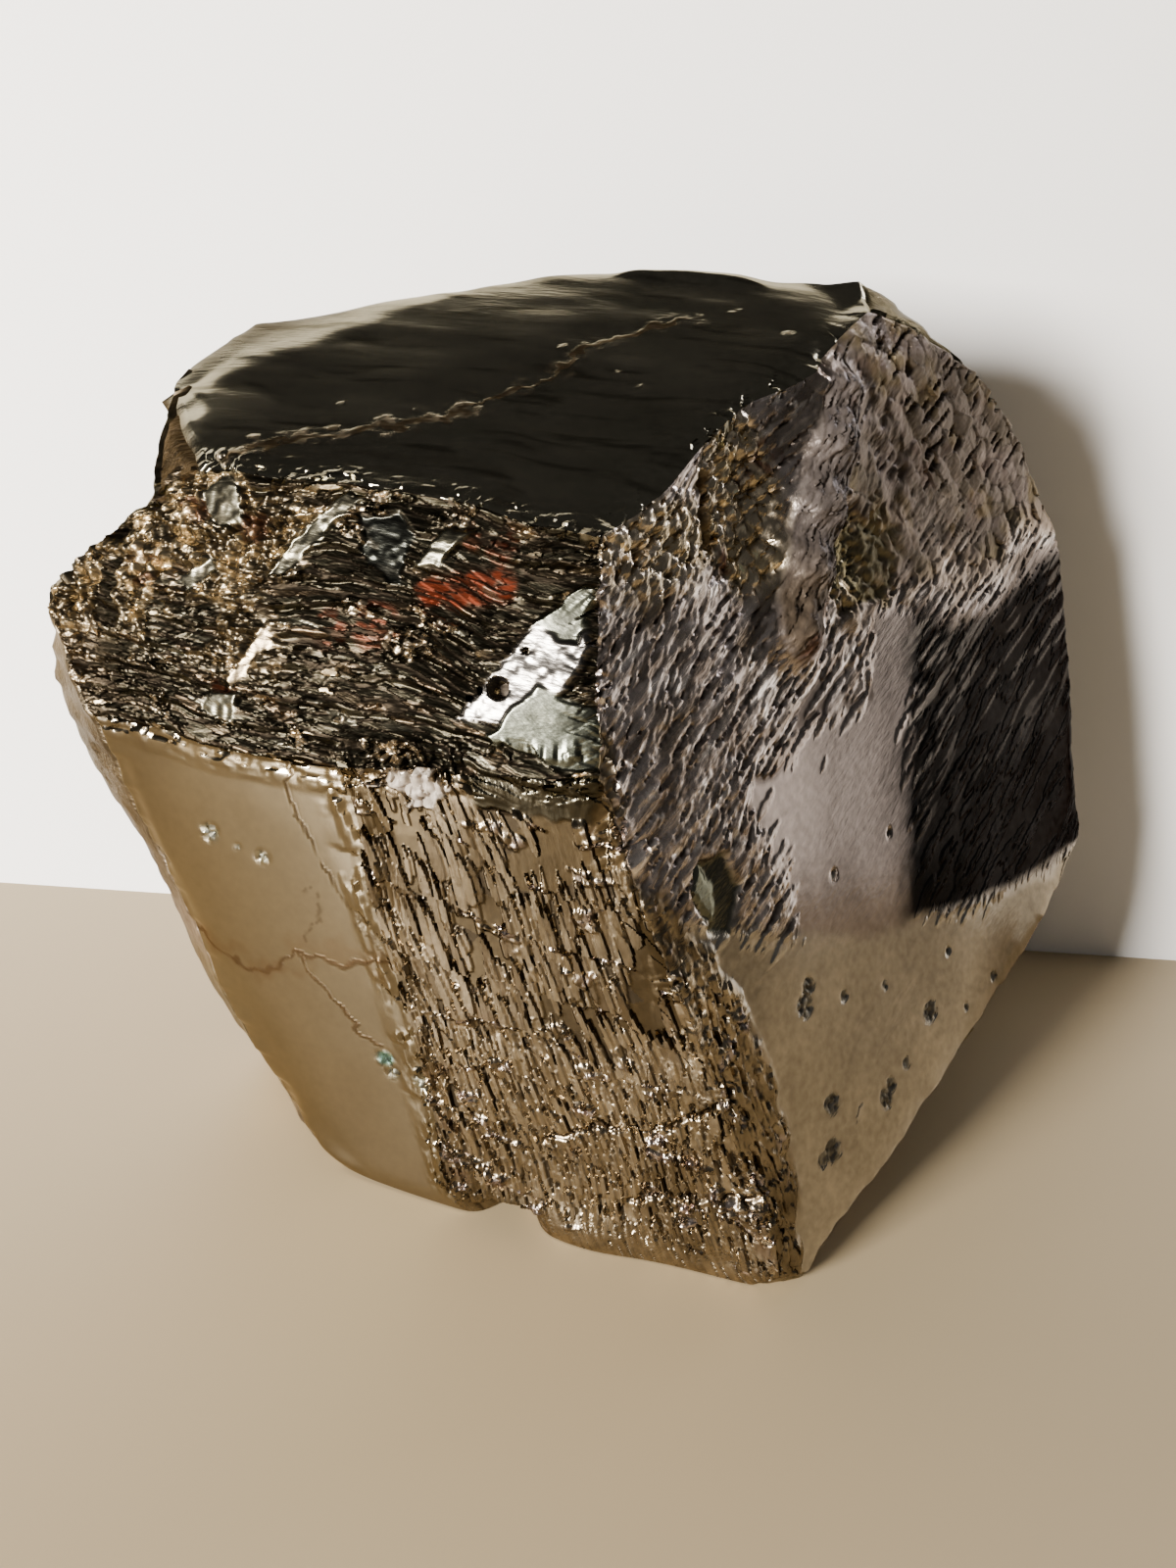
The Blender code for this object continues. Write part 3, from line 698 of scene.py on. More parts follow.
PIT_MARKS = [(9.7, -21.5, 1.3), (10.6, -20.0, 0.9), (27.5, -29.0, 1.2), (19.1, -34.0, 1.2),
             (20.2, -33.0, 0.8), (11.3, -32.2, 1.2), (10.6, -36.2, 1.3), (9.2, -36.4, 0.8),
             (15.3, -22.7, 0.6), (23.0, -32.0, 0.6), (38.7, -29.5, 0.6), (31.5, -24.5, 0.4),
             (33.0, -31.0, 0.4), (21.5, -24.0, 0.4), (16.5, -12.0, 0.5), (25.0, -10.5, 0.45)]
# How far right the golden etched ground reaches over the front edge, by height.
EDGE_OF_GOLD = ((-44.0, -36.0, -27.2, -18.4, -10.1, -4.0), (4.5, 5.5, 4.3, 1.4, -3.2, -8.5))


def blade_density(a, b):
    """How thickly the blades grow: none on the smooth lilac bay, few below the edge of the painted floor
    reflection.
    """
    calm = smooth(4.5, -3.5, b - 0.12 * (a - 14) + 3 * noise(a * 0.2, b * 0.2, 107))
    calm *= smooth(2, 9, a + 0.35 * b)
    below = smooth(0.5, -0.5, b - np.polyval(FLOOR_REFLECTION_EDGE, a))
    in_dark = smooth(28, 31, a)
    return (1 - calm * (1 - 0.5 * in_dark)) * (1 - patch(a, b, BAY, 0.6, 1.2)) * (1 - 0.99 * below)


def hump_and_hollow(a, b):
    """The hump: a ridge exp(-(across / half width)^2) between two points, faded at its ends; the hollow
    beside it: exp of minus the squared distances over its half sizes. Also how far along the hump."""
    length = np.hypot(*(HUMP_FOOT - HUMP_TOP))
    run = (HUMP_FOOT - HUMP_TOP) / length
    along = (a - HUMP_TOP[0]) * run[0] + (b - HUMP_TOP[1]) * run[1]
    across = (a - HUMP_TOP[0]) * run[1] - (b - HUMP_TOP[1]) * run[0]
    hump = smooth(-1, 4, along) * smooth(-3, 3, length - along) * np.exp(-(across / HUMP_HALF) ** 2)
    return hump, np.exp(-((a - 12.0) / 5.5) ** 2 - ((b - 20.5) / 8.5) ** 2), along


class RightZones:
    """Masks of the right face's zones: the painted floor reflection below, the painted dark reflection, its
    edges, and brown upper right.
    """

    def __init__(self, a, b):
        self.tan = smooth(1.1, -0.9, b - np.polyval(FLOOR_REFLECTION_EDGE, a) - 0.6 * noise(a * 0.25, b * 0.25, 101))
        wander = 0.7 * noise(a * 0.2, b * 0.2, 103) + 0.5 * noise(a * 0.9, b * 0.9, 104)
        self.dark_reflection_edge = 27.0 + 0.22 * (b + 12) + wander
        self.dark_reflection_top = 6.5 + 0.15 * (a - 31) + 2.2 * noise(a * 0.15, b * 0.15, 105)
        self.dark = smooth(-1.2, 2.6, a - self.dark_reflection_edge) * smooth(1.5, -2.5, b - self.dark_reflection_top)
        self.dark *= 1 - self.tan
        self.brown = smooth(9, 20, b) * smooth(17, 27, a)
        self.shoulder = smooth(1, 6, b - self.dark_reflection_top) * smooth(22, 28, a)


def oblique_blades(s, a, b, dark):
    """Long lilac blades, with short steep ones over them in crumbly patches. Both lie low in the painted
    dark reflection and where they thin out. Returns the short ones' height."""
    long_, bare, rim, key = shingles(a, b, 33, 2.8, 0.74, 111, rise=0.34, tip=0.20, fill=0.95, ramp=0.2,
                                     blunt=0.7, density=blade_density)
    short, _, short_rim, short_key = shingles(a, b, 50, 1.4, 0.52, 114, rise=0.34, tip=0.5, fill=0.7,
                                              blunt=0.7, density=blade_density)
    crumbly = smooth(-0.05, 0.3, layered(a * 0.20, b * 0.28, 117) + 0.25 * smooth(12, -4, a)) * (1 - dark)
    above = (short * crumbly > long_) & (short > 0)
    which = np.where(above, short_key, key)
    density = blade_density(a, b)
    grown = smooth(0.08, 0.75, density)
    covered = (1 - bare * (1 - above)) * (0.3 + 0.7 * grown)
    s.height = np.where(above, short * crumbly, long_) * (1 - 0.75 * dark) * (0.25 + 0.75 * grown)
    s.height += 0.45 * noise(a * 0.05, b * 0.05, 118)
    s.paint(covered, LILAC)
    s.paint(0.7 * covered * smooth(0.45, 0.35, again(which, 8)), DIM_LILAC)
    s.paint(0.8 * covered * smooth(0.80, 0.88, again(which, 9)), PALE_LILAC)
    s.paint(0.6 * covered * smooth(0.0, 0.5, layered(a * 0.22, b * 0.22, 120)), BROWN_LILAC)
    gaps = (1 - covered) * smooth(0.35, 0.6, density)
    s.cavity = 0.85 * np.clip(covered * np.where(above, short_rim, rim) + 0.85 * gaps, 0, 1)
    s.glint = covered * smooth(0.86, 0.90, again(which, 4)) * (0.3 + 0.7 * crumbly)
    # painted glints: the glinting blades are painted silver
    s.paint(0.7 * s.glint, SILVER)
    s.polish = 0.9 - 0.5 * covered
    return short


def brown_shoulder(s, a, b, zones, short):
    """The dull brown upper right: blunt lumps and short blades, low and mottled with gold and lilac."""
    s.paint(0.6 * zones.brown * smooth(-0.3, 0.3, layered(a * 0.25, b * 0.25, 121)), BARK)
    s.paint(0.5 * zones.brown * smooth(0.1, 0.5, layered(a * 0.3, b * 0.3, 122)), OLIVE)
    lumps, gap, key = beads(a + 0.3 * b, b - 0.2 * a, 2.2, 141, rise=0.10, tip=0.40)
    lumpy = smooth(0.5, 4.0, b - zones.dark_reflection_top) * smooth(19, 24, a)
    lumpy *= smooth(-0.3, 0.0, layered(a * 0.14, b * 0.14, 143))
    s.bring(lumpy, height=0.3 + lumps + 0.3 * short, cavity=0.55 * gap, glint=0.0, polish=0.3)
    s.paint(lumpy, LUMP_BROWN)
    s.paint(0.9 * lumpy * smooth(0.55, 0.75, key), LUMP_PALE)
    s.paint(0.8 * lumpy * smooth(0.30, 0.15, key), LUMP_OLIVE)
    shoulder = zones.shoulder
    s.height *= 1 - 0.35 * shoulder
    s.polish -= 0.3 * shoulder
    s.paint(0.75 * shoulder, SHALE)
    s.paint(0.7 * shoulder * smooth(0.05, 0.45, layered(a * 0.3, b * 0.3, 147)), SHALE_GOLD)
    s.paint(0.6 * shoulder * smooth(0.10, 0.50, layered(a * 0.35, b * 0.35, 149)), SHALE_LILAC)


def pocket_and_cuts(s, a, b):
    """A shallow pocket of small olive steps beside the hump, and dark cuts near the upper right edge."""
    pocket = patch(a, b, POCKET, 0.8, 1.5)
    steps, gap, key = beads(a + 0.4 * b, b, 1.1, 124, rise=0.25, tip=0.9)
    s.height += pocket * (0.6 * steps - 0.5)
    s.paint(0.85 * pocket, POCKET_OLIVE)
    s.paint(0.8 * pocket * smooth(0.7, 0.85, key), STRAW)
    s.cavity = np.maximum(s.cavity * (1 - pocket), 0.8 * pocket * gap)
    cuts = smooth(0.55, 0.75, noise(a * 0.35 + b * 0.2, b * 1.9 - a * 1.15, 126))
    cuts *= smooth(16, 22, b) * smooth(30, 36, a)
    s.height -= 0.5 * cuts
    s.cavity = np.maximum(s.cavity, cuts)


def painted_reflections(s, a, b, zones):
    """The painted dark reflection, with pale scratches that curve up from its left edge, and the painted tan
    floor reflection below, darker towards its right end.
    """
    # painted reflection: slate where the face mirrors dark surroundings
    s.paint(zones.dark * 0.97, PAINTED_DARK_REFLECTION)
    bend = b - 0.62 * a + 0.010 * (b + 5) ** 2 + 0.5 * noise(a * 0.2, b * 0.2, 130)
    scratch = smooth(0.30, 0.55, noise(a * 0.22, bend * 2.1, 128)) * smooth(-16, -4, b + 0.25 * (30 - a))
    s.paint(zones.dark * 0.6 * scratch, SCRATCH_GREY)
    s.paint(zones.dark * 0.7 * smooth(9.0, 0.0, a - zones.dark_reflection_edge) * scratch, SCRATCH_PALE)
    s.cavity *= 1 - 0.6 * zones.dark
    s.glint *= 1 - zones.dark
    # painted reflection of the floor, painted darker towards its right end
    s.paint(zones.tan, PAINTED_FLOOR_REFLECTION)
    s.paint(0.8 * zones.tan * smooth(33, 44, a - 0.4 * (b + 24)), EARTH)


def lobed_hump(s, a, b, hump, hollow, along):
    """The hump, height x ridge x (1 + 0.22 sin(turns along it)), feathered with fine dull platelets, and
    the hollow beside it."""
    feathers, _, rim, key = shingles(a, b, 232, 1.6, 0.5, 119, rise=0.28, tip=0.2, fill=0.95, ramp=0.5)
    on_hump = smooth(0.35, 0.6, hump)
    lobes = 1 + 0.22 * np.sin(2 * np.pi * along / HUMP_LOBE + 0.5 * noise(a, b, 131))
    grain_along, grain_across = turned(a, b, 32)
    s.bring(on_hump, height=feathers, cavity=0.8 * rim, polish=0.0, glint=0.0)
    s.height += HUMP_HEIGHT * hump * lobes - HOLLOW_DEPTH * hollow
    s.height += 0.16 * smooth(0.12, 0.5, hump) * noise(grain_along * 0.7, grain_across * 2.2, 145)
    s.paint(on_hump, HUMP_MAUVE)
    s.paint(0.5 * on_hump * smooth(0.4, 0.2, key), HUMP_DIM)
    s.paint(0.8 * on_hump * smooth(16, 23, along), UMBER)
    return on_hump


def golden_crumbs(s, a, b, hump, hollow):
    """Golden crumbs in the hollow and along the upper left edge beside it. Returns fine grains and key."""
    crumbs, gap, key = beads(a, b, 1.3, 123, rise=0.35, tip=0.8)
    grains, _, grain_key = beads(a, b, 0.45, 125, rise=0.5, tip=0.8)
    edge_zone = smooth(5.5, 2.0, np.hypot((a - 1.0) * 0.5, b - 18.5))
    rough = np.maximum(smooth(0.3, 0.6, hollow), 0.8 * edge_zone) * (1 - smooth(0.35, 0.6, hump))
    s.height += rough * (crumbs + 0.5 * grains)
    s.paint(rough * 0.9, CRUMB_GOLD)
    s.paint(rough * 0.8 * smooth(0.72, 0.8, key), CRUMB_BRIGHT)
    s.glint = np.maximum(s.glint * (1 - rough), rough * smooth(0.80, 0.88, grain_key))
    s.bring(rough, cavity=0.85 * gap)
    return grains, grain_key


def slot_and_prism(s, a, b):
    """The narrow slot near the upper edge, painted dark as shade, and the olive prism-shaped facet low on
    the left, its left part painted lighter as lit and the rest darker as shade.
    """
    slot_a, slot_b = turned(a - SLOT_AT[0], b - SLOT_AT[1], -8)
    slot = smooth(0.75, 0.35, np.abs(slot_a)) * smooth(3.2, 2.4, np.abs(slot_b))
    prism, pane = patch(a, b, PRISM, 0.3, 0.3), patch(a, b, PRISM_LEFT, 0.2, 0.2)
    s.height -= 1.6 * slot
    s.level(prism, -0.15 + 0.10 * (a - 1.0), polish=0.3)
    s.level(pane, -0.05 - 0.10 * (a - 1.0), polish=0.5)
    s.cavity = np.maximum(s.cavity, slot)
    # painted light and shade: the prism darker, its left part lighter
    s.paint(prism * 0.95, PRISM_SHADED_OLIVE)
    s.paint(pane * 0.95, PRISM_LIT_OLIVE)


def grey_pits(s, a, b, grains, key):
    """Small pits full of grey grains, on the tan and lilac ground."""
    pits = spots(a, b, PIT_MARKS)
    s.height += pits * (grains - 0.3)
    s.paint(pits * 0.75, PIT_GREY)
    s.glint = np.maximum(s.glint, pits * smooth(0.6, 0.8, key))
    s.cavity = np.maximum(s.cavity, 0.5 * pits)
    s.polish -= 0.5 * pits


def gold_over_edge(s, a, b, grains, key):
    """Golden platelets of the lower middle face that carry over the front edge, with bunches of grains."""
    worn = smooth(0.9, -0.5, a - np.interp(b, *EDGE_OF_GOLD) + 0.8 * noise(a * 0.45, b * 0.45, 135))
    s.height *= 1 - 0.7 * worn
    s.cavity *= 1 - worn
    s.paint(worn, EARTH)
    covered = etch(s, a, b, smooth(-10, -18, b), worn, None, 137)
    s.cavity = np.maximum(s.cavity, 0.7 * worn * (1 - covered))
    s.glint *= 1 - worn
    bunch = worn * smooth(0.25, 0.4, layered(a * 0.5, b * 0.4, 139))
    s.height += bunch * grains
    s.paint(bunch * smooth(0.5, 0.7, key), PINK_SILVER)


def right_rust(a, b, brown):
    """Rust of the right face: spots in the hollow and at the hump's foot, faint patches on the brown."""
    spotted = 0.9 * spots(a, b, RUST_SPOTS) * smooth(-0.3, 0.3, layered(a * 0.8, b * 0.8, 127))
    faint = 0.25 * brown * smooth(0.3, 0.7, layered(a * 0.4, b * 0.4, 129))
    return np.clip(spotted + faint + 0.4 * spots(a, b, HUMP_FOOT_RUST), 0, 1)


def right_skin(a, b):
    """Tarnished face: oblique blades above, a lobed hump and a rusty hollow, smooth lilac, a painted dark
    reflection at the right and a painted tan floor reflection below.
    """
    s = Skin(a, MAUVE, polish=0.85)
    zones = RightZones(a, b)
    hump, hollow, along = hump_and_hollow(a, b)
    short = oblique_blades(s, a, b, zones.dark)
    brown_shoulder(s, a, b, zones, short)
    pocket_and_cuts(s, a, b)
    painted_reflections(s, a, b, zones)
    on_hump = lobed_hump(s, a, b, hump, hollow, along)
    s.chalk = np.maximum(0.45 * on_hump, 0.38 * zones.shoulder)
    grains, key = golden_crumbs(s, a, b, hump, hollow)
    s.rust = right_rust(a, b, zones.brown)
    slot_and_prism(s, a, b)
    grey_pits(s, a, b, grains, key)
    gold_over_edge(s, a, b, grains, key)
    return s


# ---------------------------------------------------------------- relief of the step

def step_skin(a, b):
    """The two small faces of the re-entrant step: olive, lumpy, with a few paler crystals."""
    s = Skin(a, OLIVE, polish=0.5)
    lumps, gap, key = beads(a, b, 2.4, 151, rise=0.22, tip=0.5)
    fine, _, fine_key = beads(a, b, 0.8, 153, rise=0.3, tip=0.5)
    s.height = lumps - 0.3 + 0.5 * fine
    s.cavity = 0.6 * gap
    s.paint(0.7 * smooth(0.5, 0.7, key), EARTH)
    s.paint(0.8 * smooth(0.8, 0.9, fine_key), STRAW)
    return s


# ---------------------------------------------------------------- relief of the whole lump

SKINS = {"top": top_skin, "upper_left": upper_left_skin, "right": right_skin,
         "lower_middle": lower_middle_skin, "lower_left": lower_left_skin,
         "step_wall": step_skin, "step_floor": step_skin}
# Sideways wander of the relief lines along each face: how far right, how far up, and its scale.
WANDER = {"upper_left": (0.3, 0.5, 0.13), "lower_middle": (0.7, 0.5, 0.11), "right": (0.6, 0.6, 0.09),
          "top": (0.5, 0.9, 0.12)}
REACH = 3.0                 # how far over an edge a face's relief carries on
LEAST_SINE = 0.04           # of the angle between two faces, for that reach
FOOT_FADE = (-0.2, 2.2)     # heights between which the relief fades out towards the base
DENT_FADE = (-9.0, -4.0)    # depths behind its face between which a dent of the foot fades in
GROWTH_PITCH = 3.1          # of the growth steps on the plain faces


def plain_height(name, a, b):
    """Relief of a face that isn't worked: a saw of growth steps 1/2 - min(climb, 4 (1 - climb)), plus
    slow and quick noise."""
    seed = 200 + 7 * list(FACES).index(name)
    turn = (b + 1.5 * noise(a * 0.08, b * 0.05, seed)) / GROWTH_PITCH
    climb = turn - np.floor(turn)
    step = 0.5 - np.minimum(climb, (1 - climb) * 4)
    return 0.22 * step + 0.7 * noise(a * 0.08, b * 0.08, seed + 1) + 0.10 * noise(a * 0.4, b * 0.5, seed + 2)


def worn_round(points):
    """Rounding of the edges. With d the distances outside the faces, less the greatest of them, every
    point moves inward by r ln(sum exp(d / r)) along the faces' mean normal, weighted by exp(d / r)."""
    normals = np.array([FRAMES[name][3] for name in FACES])
    d = np.stack([height_over(name, points) for name in FACES], 1)
    d -= d.max(1, keepdims=True)
    radius = np.full(len(points), EDGE_RADIUS)
    for name, a, b, around, extra in WORN:
        origin, right, up, _ = FRAMES[name]
        away = np.linalg.norm(points - (origin + a * right + b * up), axis=1)
        radius += extra * np.exp(-(away / around) ** 2)
    weight = np.exp(d / radius[:, None])
    total = weight.sum(1)
    return -(radius * np.log(total) / total)[:, None] * (weight @ normals)


def foot_shift(points):
    """Level moves at the foot: depth exp(-(across / half width)^2), fading upward and behind the face."""
    shift = np.zeros(points.shape)
    for name, a, half, high, depth in FOOT_DENTS:
        origin, right, _, outward = FRAMES[name]
        across = (points - origin) @ right - a
        mask = np.exp(-(across / half) ** 2) * smooth(high, 0.35 * high, points[:, 2])
        mask *= smooth(*DENT_FADE, height_over(name, points))
        shift[:, :2] -= (depth * mask)[:, None] * outward[:2]
    return shift


def relief_shift(points, own, own_height=None):
    """How far the relief moves each point: the sum over the faces of the face's outward direction times
    its height, plus a sideways wander. On the point's own face it is whole; a neighbour's fades with
    depth under the neighbour's plane, so that it carries a fixed way over the edge between them."""
    shift = np.zeros(points.shape)
    names = list(FACES)
    normals = np.array([FRAMES[name][3] for name in names])
    sines = np.sqrt(np.clip(1 - (normals @ normals.T) ** 2, LEAST_SINE ** 2, 1))
    sines = np.vstack([sines, np.ones(len(names))])         # the last row is for points on no face's own
    for k, name in enumerate(names):
        if name == "base":
            continue
        origin, right, up, outward = FRAMES[name]
        local = points - origin
        fade = 1 - smooth(0.0, 1.0, -(local @ outward) / (REACH * sines[own, k]))
        fade = np.where(own == k, 1.0, fade)
        near = fade > 0
        if not near.any():
            continue
        a, b = (local @ right)[near], (local @ up)[near]
        if own_height is not None and own[0] == k:
            height = own_height[near]
        elif name in SKINS:
            height = SKINS[name](a, b).height
        else:
            height = plain_height(name, a, b)
        far_right, far_up, scale = WANDER.get(name, (0.0, 0.0, 1.0))
        move = outward * height[:, None]
        move += right * (far_right * noise(a * scale, b * scale, 6))[:, None]
        move += up * (far_up * noise(a * scale, b * scale, 8))[:, None]
        shift[near] += move * fade[near][:, None]
    shift *= smooth(*FOOT_FADE, points[:, 2])[:, None]
    return shift + worn_round(points) + foot_shift(points)


# ---------------------------------------------------------------- outlines of the faces

FACE_HALF = 120.0           # half size of the square that a face's outline is cut from
SAME_POINT = 0.05           # corners closer together than this are one
EDGE_TRIES = 4001           # points tried along an edge to find where the step cuts it


def clip(outline, distances):
    """Keep the part of a convex outline where the distance isn't positive. It is linear between corners,
    so an edge from d0 to d1 is cut at d0 / (d0 - d1) of its length."""
    kept = []
    for k, point in enumerate(outline):
        after = outline[(k + 1) % len(outline)]
        d0, d1 = distances(point), distances(after)
        if d0 <= 0:
            kept.append(point)
        if (d0 < 0) != (d1 < 0) and d0 != d1:
            kept.append(point + (after - point) * d0 / (d0 - d1))
    return kept


def notched(outline, wall, floor):
    """Take out of an outline the corner that lies outside both step planes, where the lesser of the two
    distances is positive. None stands in for the re-entrant corner between the two cuts."""
    kept = []
    for k, point in enumerate(outline):
        after = outline[(k + 1) % len(outline)]
        lost, lost_after = min(wall(point), floor(point)) > 0, min(wall(after), floor(after)) > 0
        if not lost:
            kept.append(point)
        if lost != lost_after:
            t = np.linspace(0, 1, EDGE_TRIES)[:, None]
            line = point + (after - point) * t
            over = np.minimum([wall(q) for q in line], [floor(q) for q in line]) > 0
            kept.append(line[np.argmax(over != over[0])])
            if lost_after:
                kept.append(None)
    return kept


def face_outline(name):
    """Corners of a crystal face in its own right and up coordinates, anticlockwise seen from outside."""
    origin, right, up, _ = FRAMES[name]
    outline = [FACE_HALF * np.array(corner) for corner in ((-1, -1), (1, -1), (1, 1), (-1, 1))]

    def over(other):
        """The distance outside another face's plane, as a function of a point on this face."""
        return lambda p: float(height_over(other, origin + right * p[0] + up * p[1]))

    for other in FACES:
        if other != name:
            outline = clip(outline, over(other))
    if name in STEP_FACES:
        partner = over(next(other for other in STEP_FACES if other != name))
        return np.array(clip(outline, lambda p: -partner(p)))
    wall, floor = over("step_wall"), over("step_floor")
    if max(min(wall(p), floor(p)) for p in outline) > 0:
        outline = notched(outline, wall, floor)
        centre = np.zeros(2)
        slopes = [[side(e) - side(centre) for e in np.eye(2)] for side in (wall, floor)]
        inner = np.linalg.solve(slopes, [-wall(centre), -floor(centre)])
        within = all(over(other)(inner) <= 0 for other in FACES if other != name)
        outline = [inner if p is None else p for p in outline if within or p is not None]
    return np.array([p for k, p in enumerate(outline) if np.hypot(*(p - outline[k - 1])) > SAME_POINT])


def resampled(line, count):
    """Points at even lengths along a broken line, (k / count) of its length each, with the nearest one
    moved onto each of its corners."""
    steps = np.hypot(*np.diff(line, axis=0).T)
    length = np.concatenate([[0], np.cumsum(steps)])
    at = np.linspace(0, length[-1], count)
    for corner in length[1:-1]:
        k = 1 + int(np.argmin(np.abs(at[1:-1] - corner)))
        at[k] = corner
    return np.stack([np.interp(at, length, line[:, 0]), np.interp(at, length, line[:, 1])], 1)


def face_grid(outline, spacing):
    """A grid stretched over an outline: four sides meet at its outermost corners, and each inner point is
    (1-t) bottom + t top + (1-s) left + s right, less the same blend of the four corners (a Coons patch)."""
    box = np.ptp(outline, axis=0)
    corners = [int(np.argmax(outline @ (np.array(d) / box))) for d in ((-1, -1), (1, -1), (1, 1), (-1, 1))]
    rolled = np.roll(outline, -corners[0], axis=0)
    stops = [(c - corners[0]) % len(outline) for c in corners] + [len(outline)]
    stops[3] = stops[3] or len(outline)         # a three-cornered face has one side of no length
    closed = np.concatenate([rolled, rolled[:1]])
    sides = [closed[stops[k]:stops[k + 1] + 1] for k in range(4)]
    lengths = [np.hypot(*np.diff(side, axis=0).T).sum() for side in sides]
    columns = int(max(lengths[0], lengths[2]) / spacing / COARSE) + 2
    rows = int(max(lengths[1], lengths[3]) / spacing / COARSE) + 2
    bottom, top = resampled(sides[0], columns), resampled(sides[2], columns)[::-1]
    right, left = resampled(sides[1], rows), resampled(sides[3], rows)[::-1]
    s = np.linspace(0, 1, columns)[None, :, None]
    t = np.linspace(0, 1, rows)[:, None, None]
    ruled = (1 - t) * bottom[None] + t * top[None] + (1 - s) * left[:, None] + s * right[:, None]
    blend = (1 - s) * (1 - t) * bottom[0] + s * (1 - t) * bottom[-1] + (1 - s) * t * top[0] + s * t * top[-1]
    return ruled - blend


# ---------------------------------------------------------------- meshes

def grid_quads(index):
    """The quads of a grid of point numbers."""
    return np.stack([index[:-1, :-1], index[:-1, 1:], index[1:, 1:], index[1:, :-1]], -1).reshape(-1, 4)


def masks_of(*skins):
    """Colours and finish masks of several skins, end to end."""
    keys = ("tone", "cavity", "glint", "polish", "rust", "chalk")
    return {key: np.concatenate([getattr(skin, key) for skin in skins]) for key in keys}


def make_mesh(name, points, quads, triangles, colours, material, sharp=50.0):
    """Put whole arrays of points and faces into a new object, smooth but for edges sharper than given."""
    mesh = bpy.data.meshes.new(name)
    loops = np.concatenate([quads.ravel(), triangles.ravel()]).astype(np.int32)
    sizes = np.concatenate([np.full(len(quads), 4), np.full(len(triangles), 3)]).astype(np.int32)
    mesh.vertices.add(len(points))
    mesh.vertices.foreach_set("co", (points * MM).astype(np.float32).ravel())
    mesh.loops.add(len(loops))
    mesh.loops.foreach_set("vertex_index", loops)
    mesh.polygons.add(len(sizes))
    mesh.polygons.foreach_set("loop_start", np.concatenate([[0], np.cumsum(sizes)[:-1]]).astype(np.int32))
    mesh.update(calc_edges=True)
    mesh.validate()
    for key, values in colours.items():
        kind = "FLOAT_VECTOR" if values.ndim == 2 else "FLOAT"
        layer = mesh.attributes.new(key, kind, "POINT")
        layer.data.foreach_set("vector" if values.ndim == 2 else "value", values.astype(np.float32).ravel())
    mesh.shade_smooth()
    mesh.set_sharp_from_angle(angle=np.radians(sharp))
    mesh.materials.append(material)
    piece = bpy.data.objects.new(name, mesh)
    bpy.context.scene.collection.objects.link(piece)
    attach(piece, BODY)
    return piece


def body_skin(points):
    """Finish of the bare body: mottled bronze, more olive towards the top, browner and duller on the
    left."""
    x, y, z = points.T
    tint = layered(x * 0.05 + y * 0.03, z * 0.07, 301)
    skin = Skin(x, BRONZE, polish=0.45)
    skin.paint(0.8 * smooth(0.0, 0.7, tint), OLIVE_BRONZE)
    skin.paint(0.5 * smooth(0.1, 0.6, -tint), LILAC)
    skin.paint(0.7 * smooth(50, 66, z), OLIVE)
    left = smooth(-34, -42, x) * smooth(12, -4, y)
    bevel = smooth(-31, -35, x) * smooth(56, 60, z)
    skin.paint(0.8 * np.maximum(0.8 * left, bevel), UMBER)
    skin.polish -= 0.45 * np.maximum(left, bevel)
    return skin


def skirt(name, rim, raised):
    """A ring just past a sheet's rim: where the neighbour is bare body it lies down along the neighbour,
    the sheet's direction inward with its part along the neighbour's outward one taken off, and shares
    the neighbour's relief; elsewhere it goes straight in."""
    others = [other for other in FRAMES if other != name]
    nearest = np.argmin([np.abs(height_over(other, rim)) for other in others], axis=0)
    beyond = np.array([FRAMES[other][3] for other in others])[nearest]
    bare = np.array([other not in WORKED for other in others])[nearest]
    numbers = np.array([list(FACES).index(other) if other in FACES else -1 for other in others])[nearest]
    outward = FRAMES[name][3]
    down = (beyond @ outward)[:, None] * beyond - outward
    down /= np.linalg.norm(down, axis=1, keepdims=True)
    below = rim + SKIRT * down
    below = below + relief_shift(below, numbers) - TUCK * beyond
    return np.where(bare[:, None], below, raised - SKIRT * outward)


def worked_face(name, material):
    """A worked crystal face: its grid of points origin + a right + b up, moved by its relief, turned over
    at the rim by a ring, and closed behind by a cone down to one point."""
    grid = face_grid(face_outline(name), WORKED[name])
    rows, columns = grid.shape[:2]
    a, b = grid[..., 0].ravel(), grid[..., 1].ravel()
    origin, right, up, outward = FRAMES[name]
    points = origin + a[:, None] * right + b[:, None] * up
    skin = SKINS[name](a, b)
    own = np.full(len(points), list(FACES).index(name) if name in FACES else -1)
    if name in STEP_FACES:
        inset = smooth(0.0, STEP_FADE, -np.max([height_over(other, points) for other in FACES], axis=0))
        points = points + outward * (inset * skin.height)[:, None]
    flat = points
    points = points + relief_shift(points, own, skin.height)
    index = np.arange(rows * columns).reshape(rows, columns)
    quads = grid_quads(index)
    rim = np.concatenate([index[0, :-1], index[:-1, -1], index[-1, :0:-1], index[:0:-1, 0]])
    ring = len(points) + np.arange(len(rim))
    quads = np.concatenate([quads, np.stack([np.roll(rim, -1), rim, ring, np.roll(ring, -1)], 1)])
    cone = np.stack([np.roll(ring, -1), ring, np.full(len(rim), ring[-1] + 1)], 1)
    apex = points.mean(0) - outward * SHEET_DEPTH
    points = np.concatenate([points, skirt(name, flat[rim], points[rim]), [apex]])
    points[:, 2] = np.maximum(points[:, 2], 0.0)
    masks = masks_of(skin, body_skin(points[ring[0]:]))
    return make_mesh("face_" + name, points, quads, cone, masks, material)


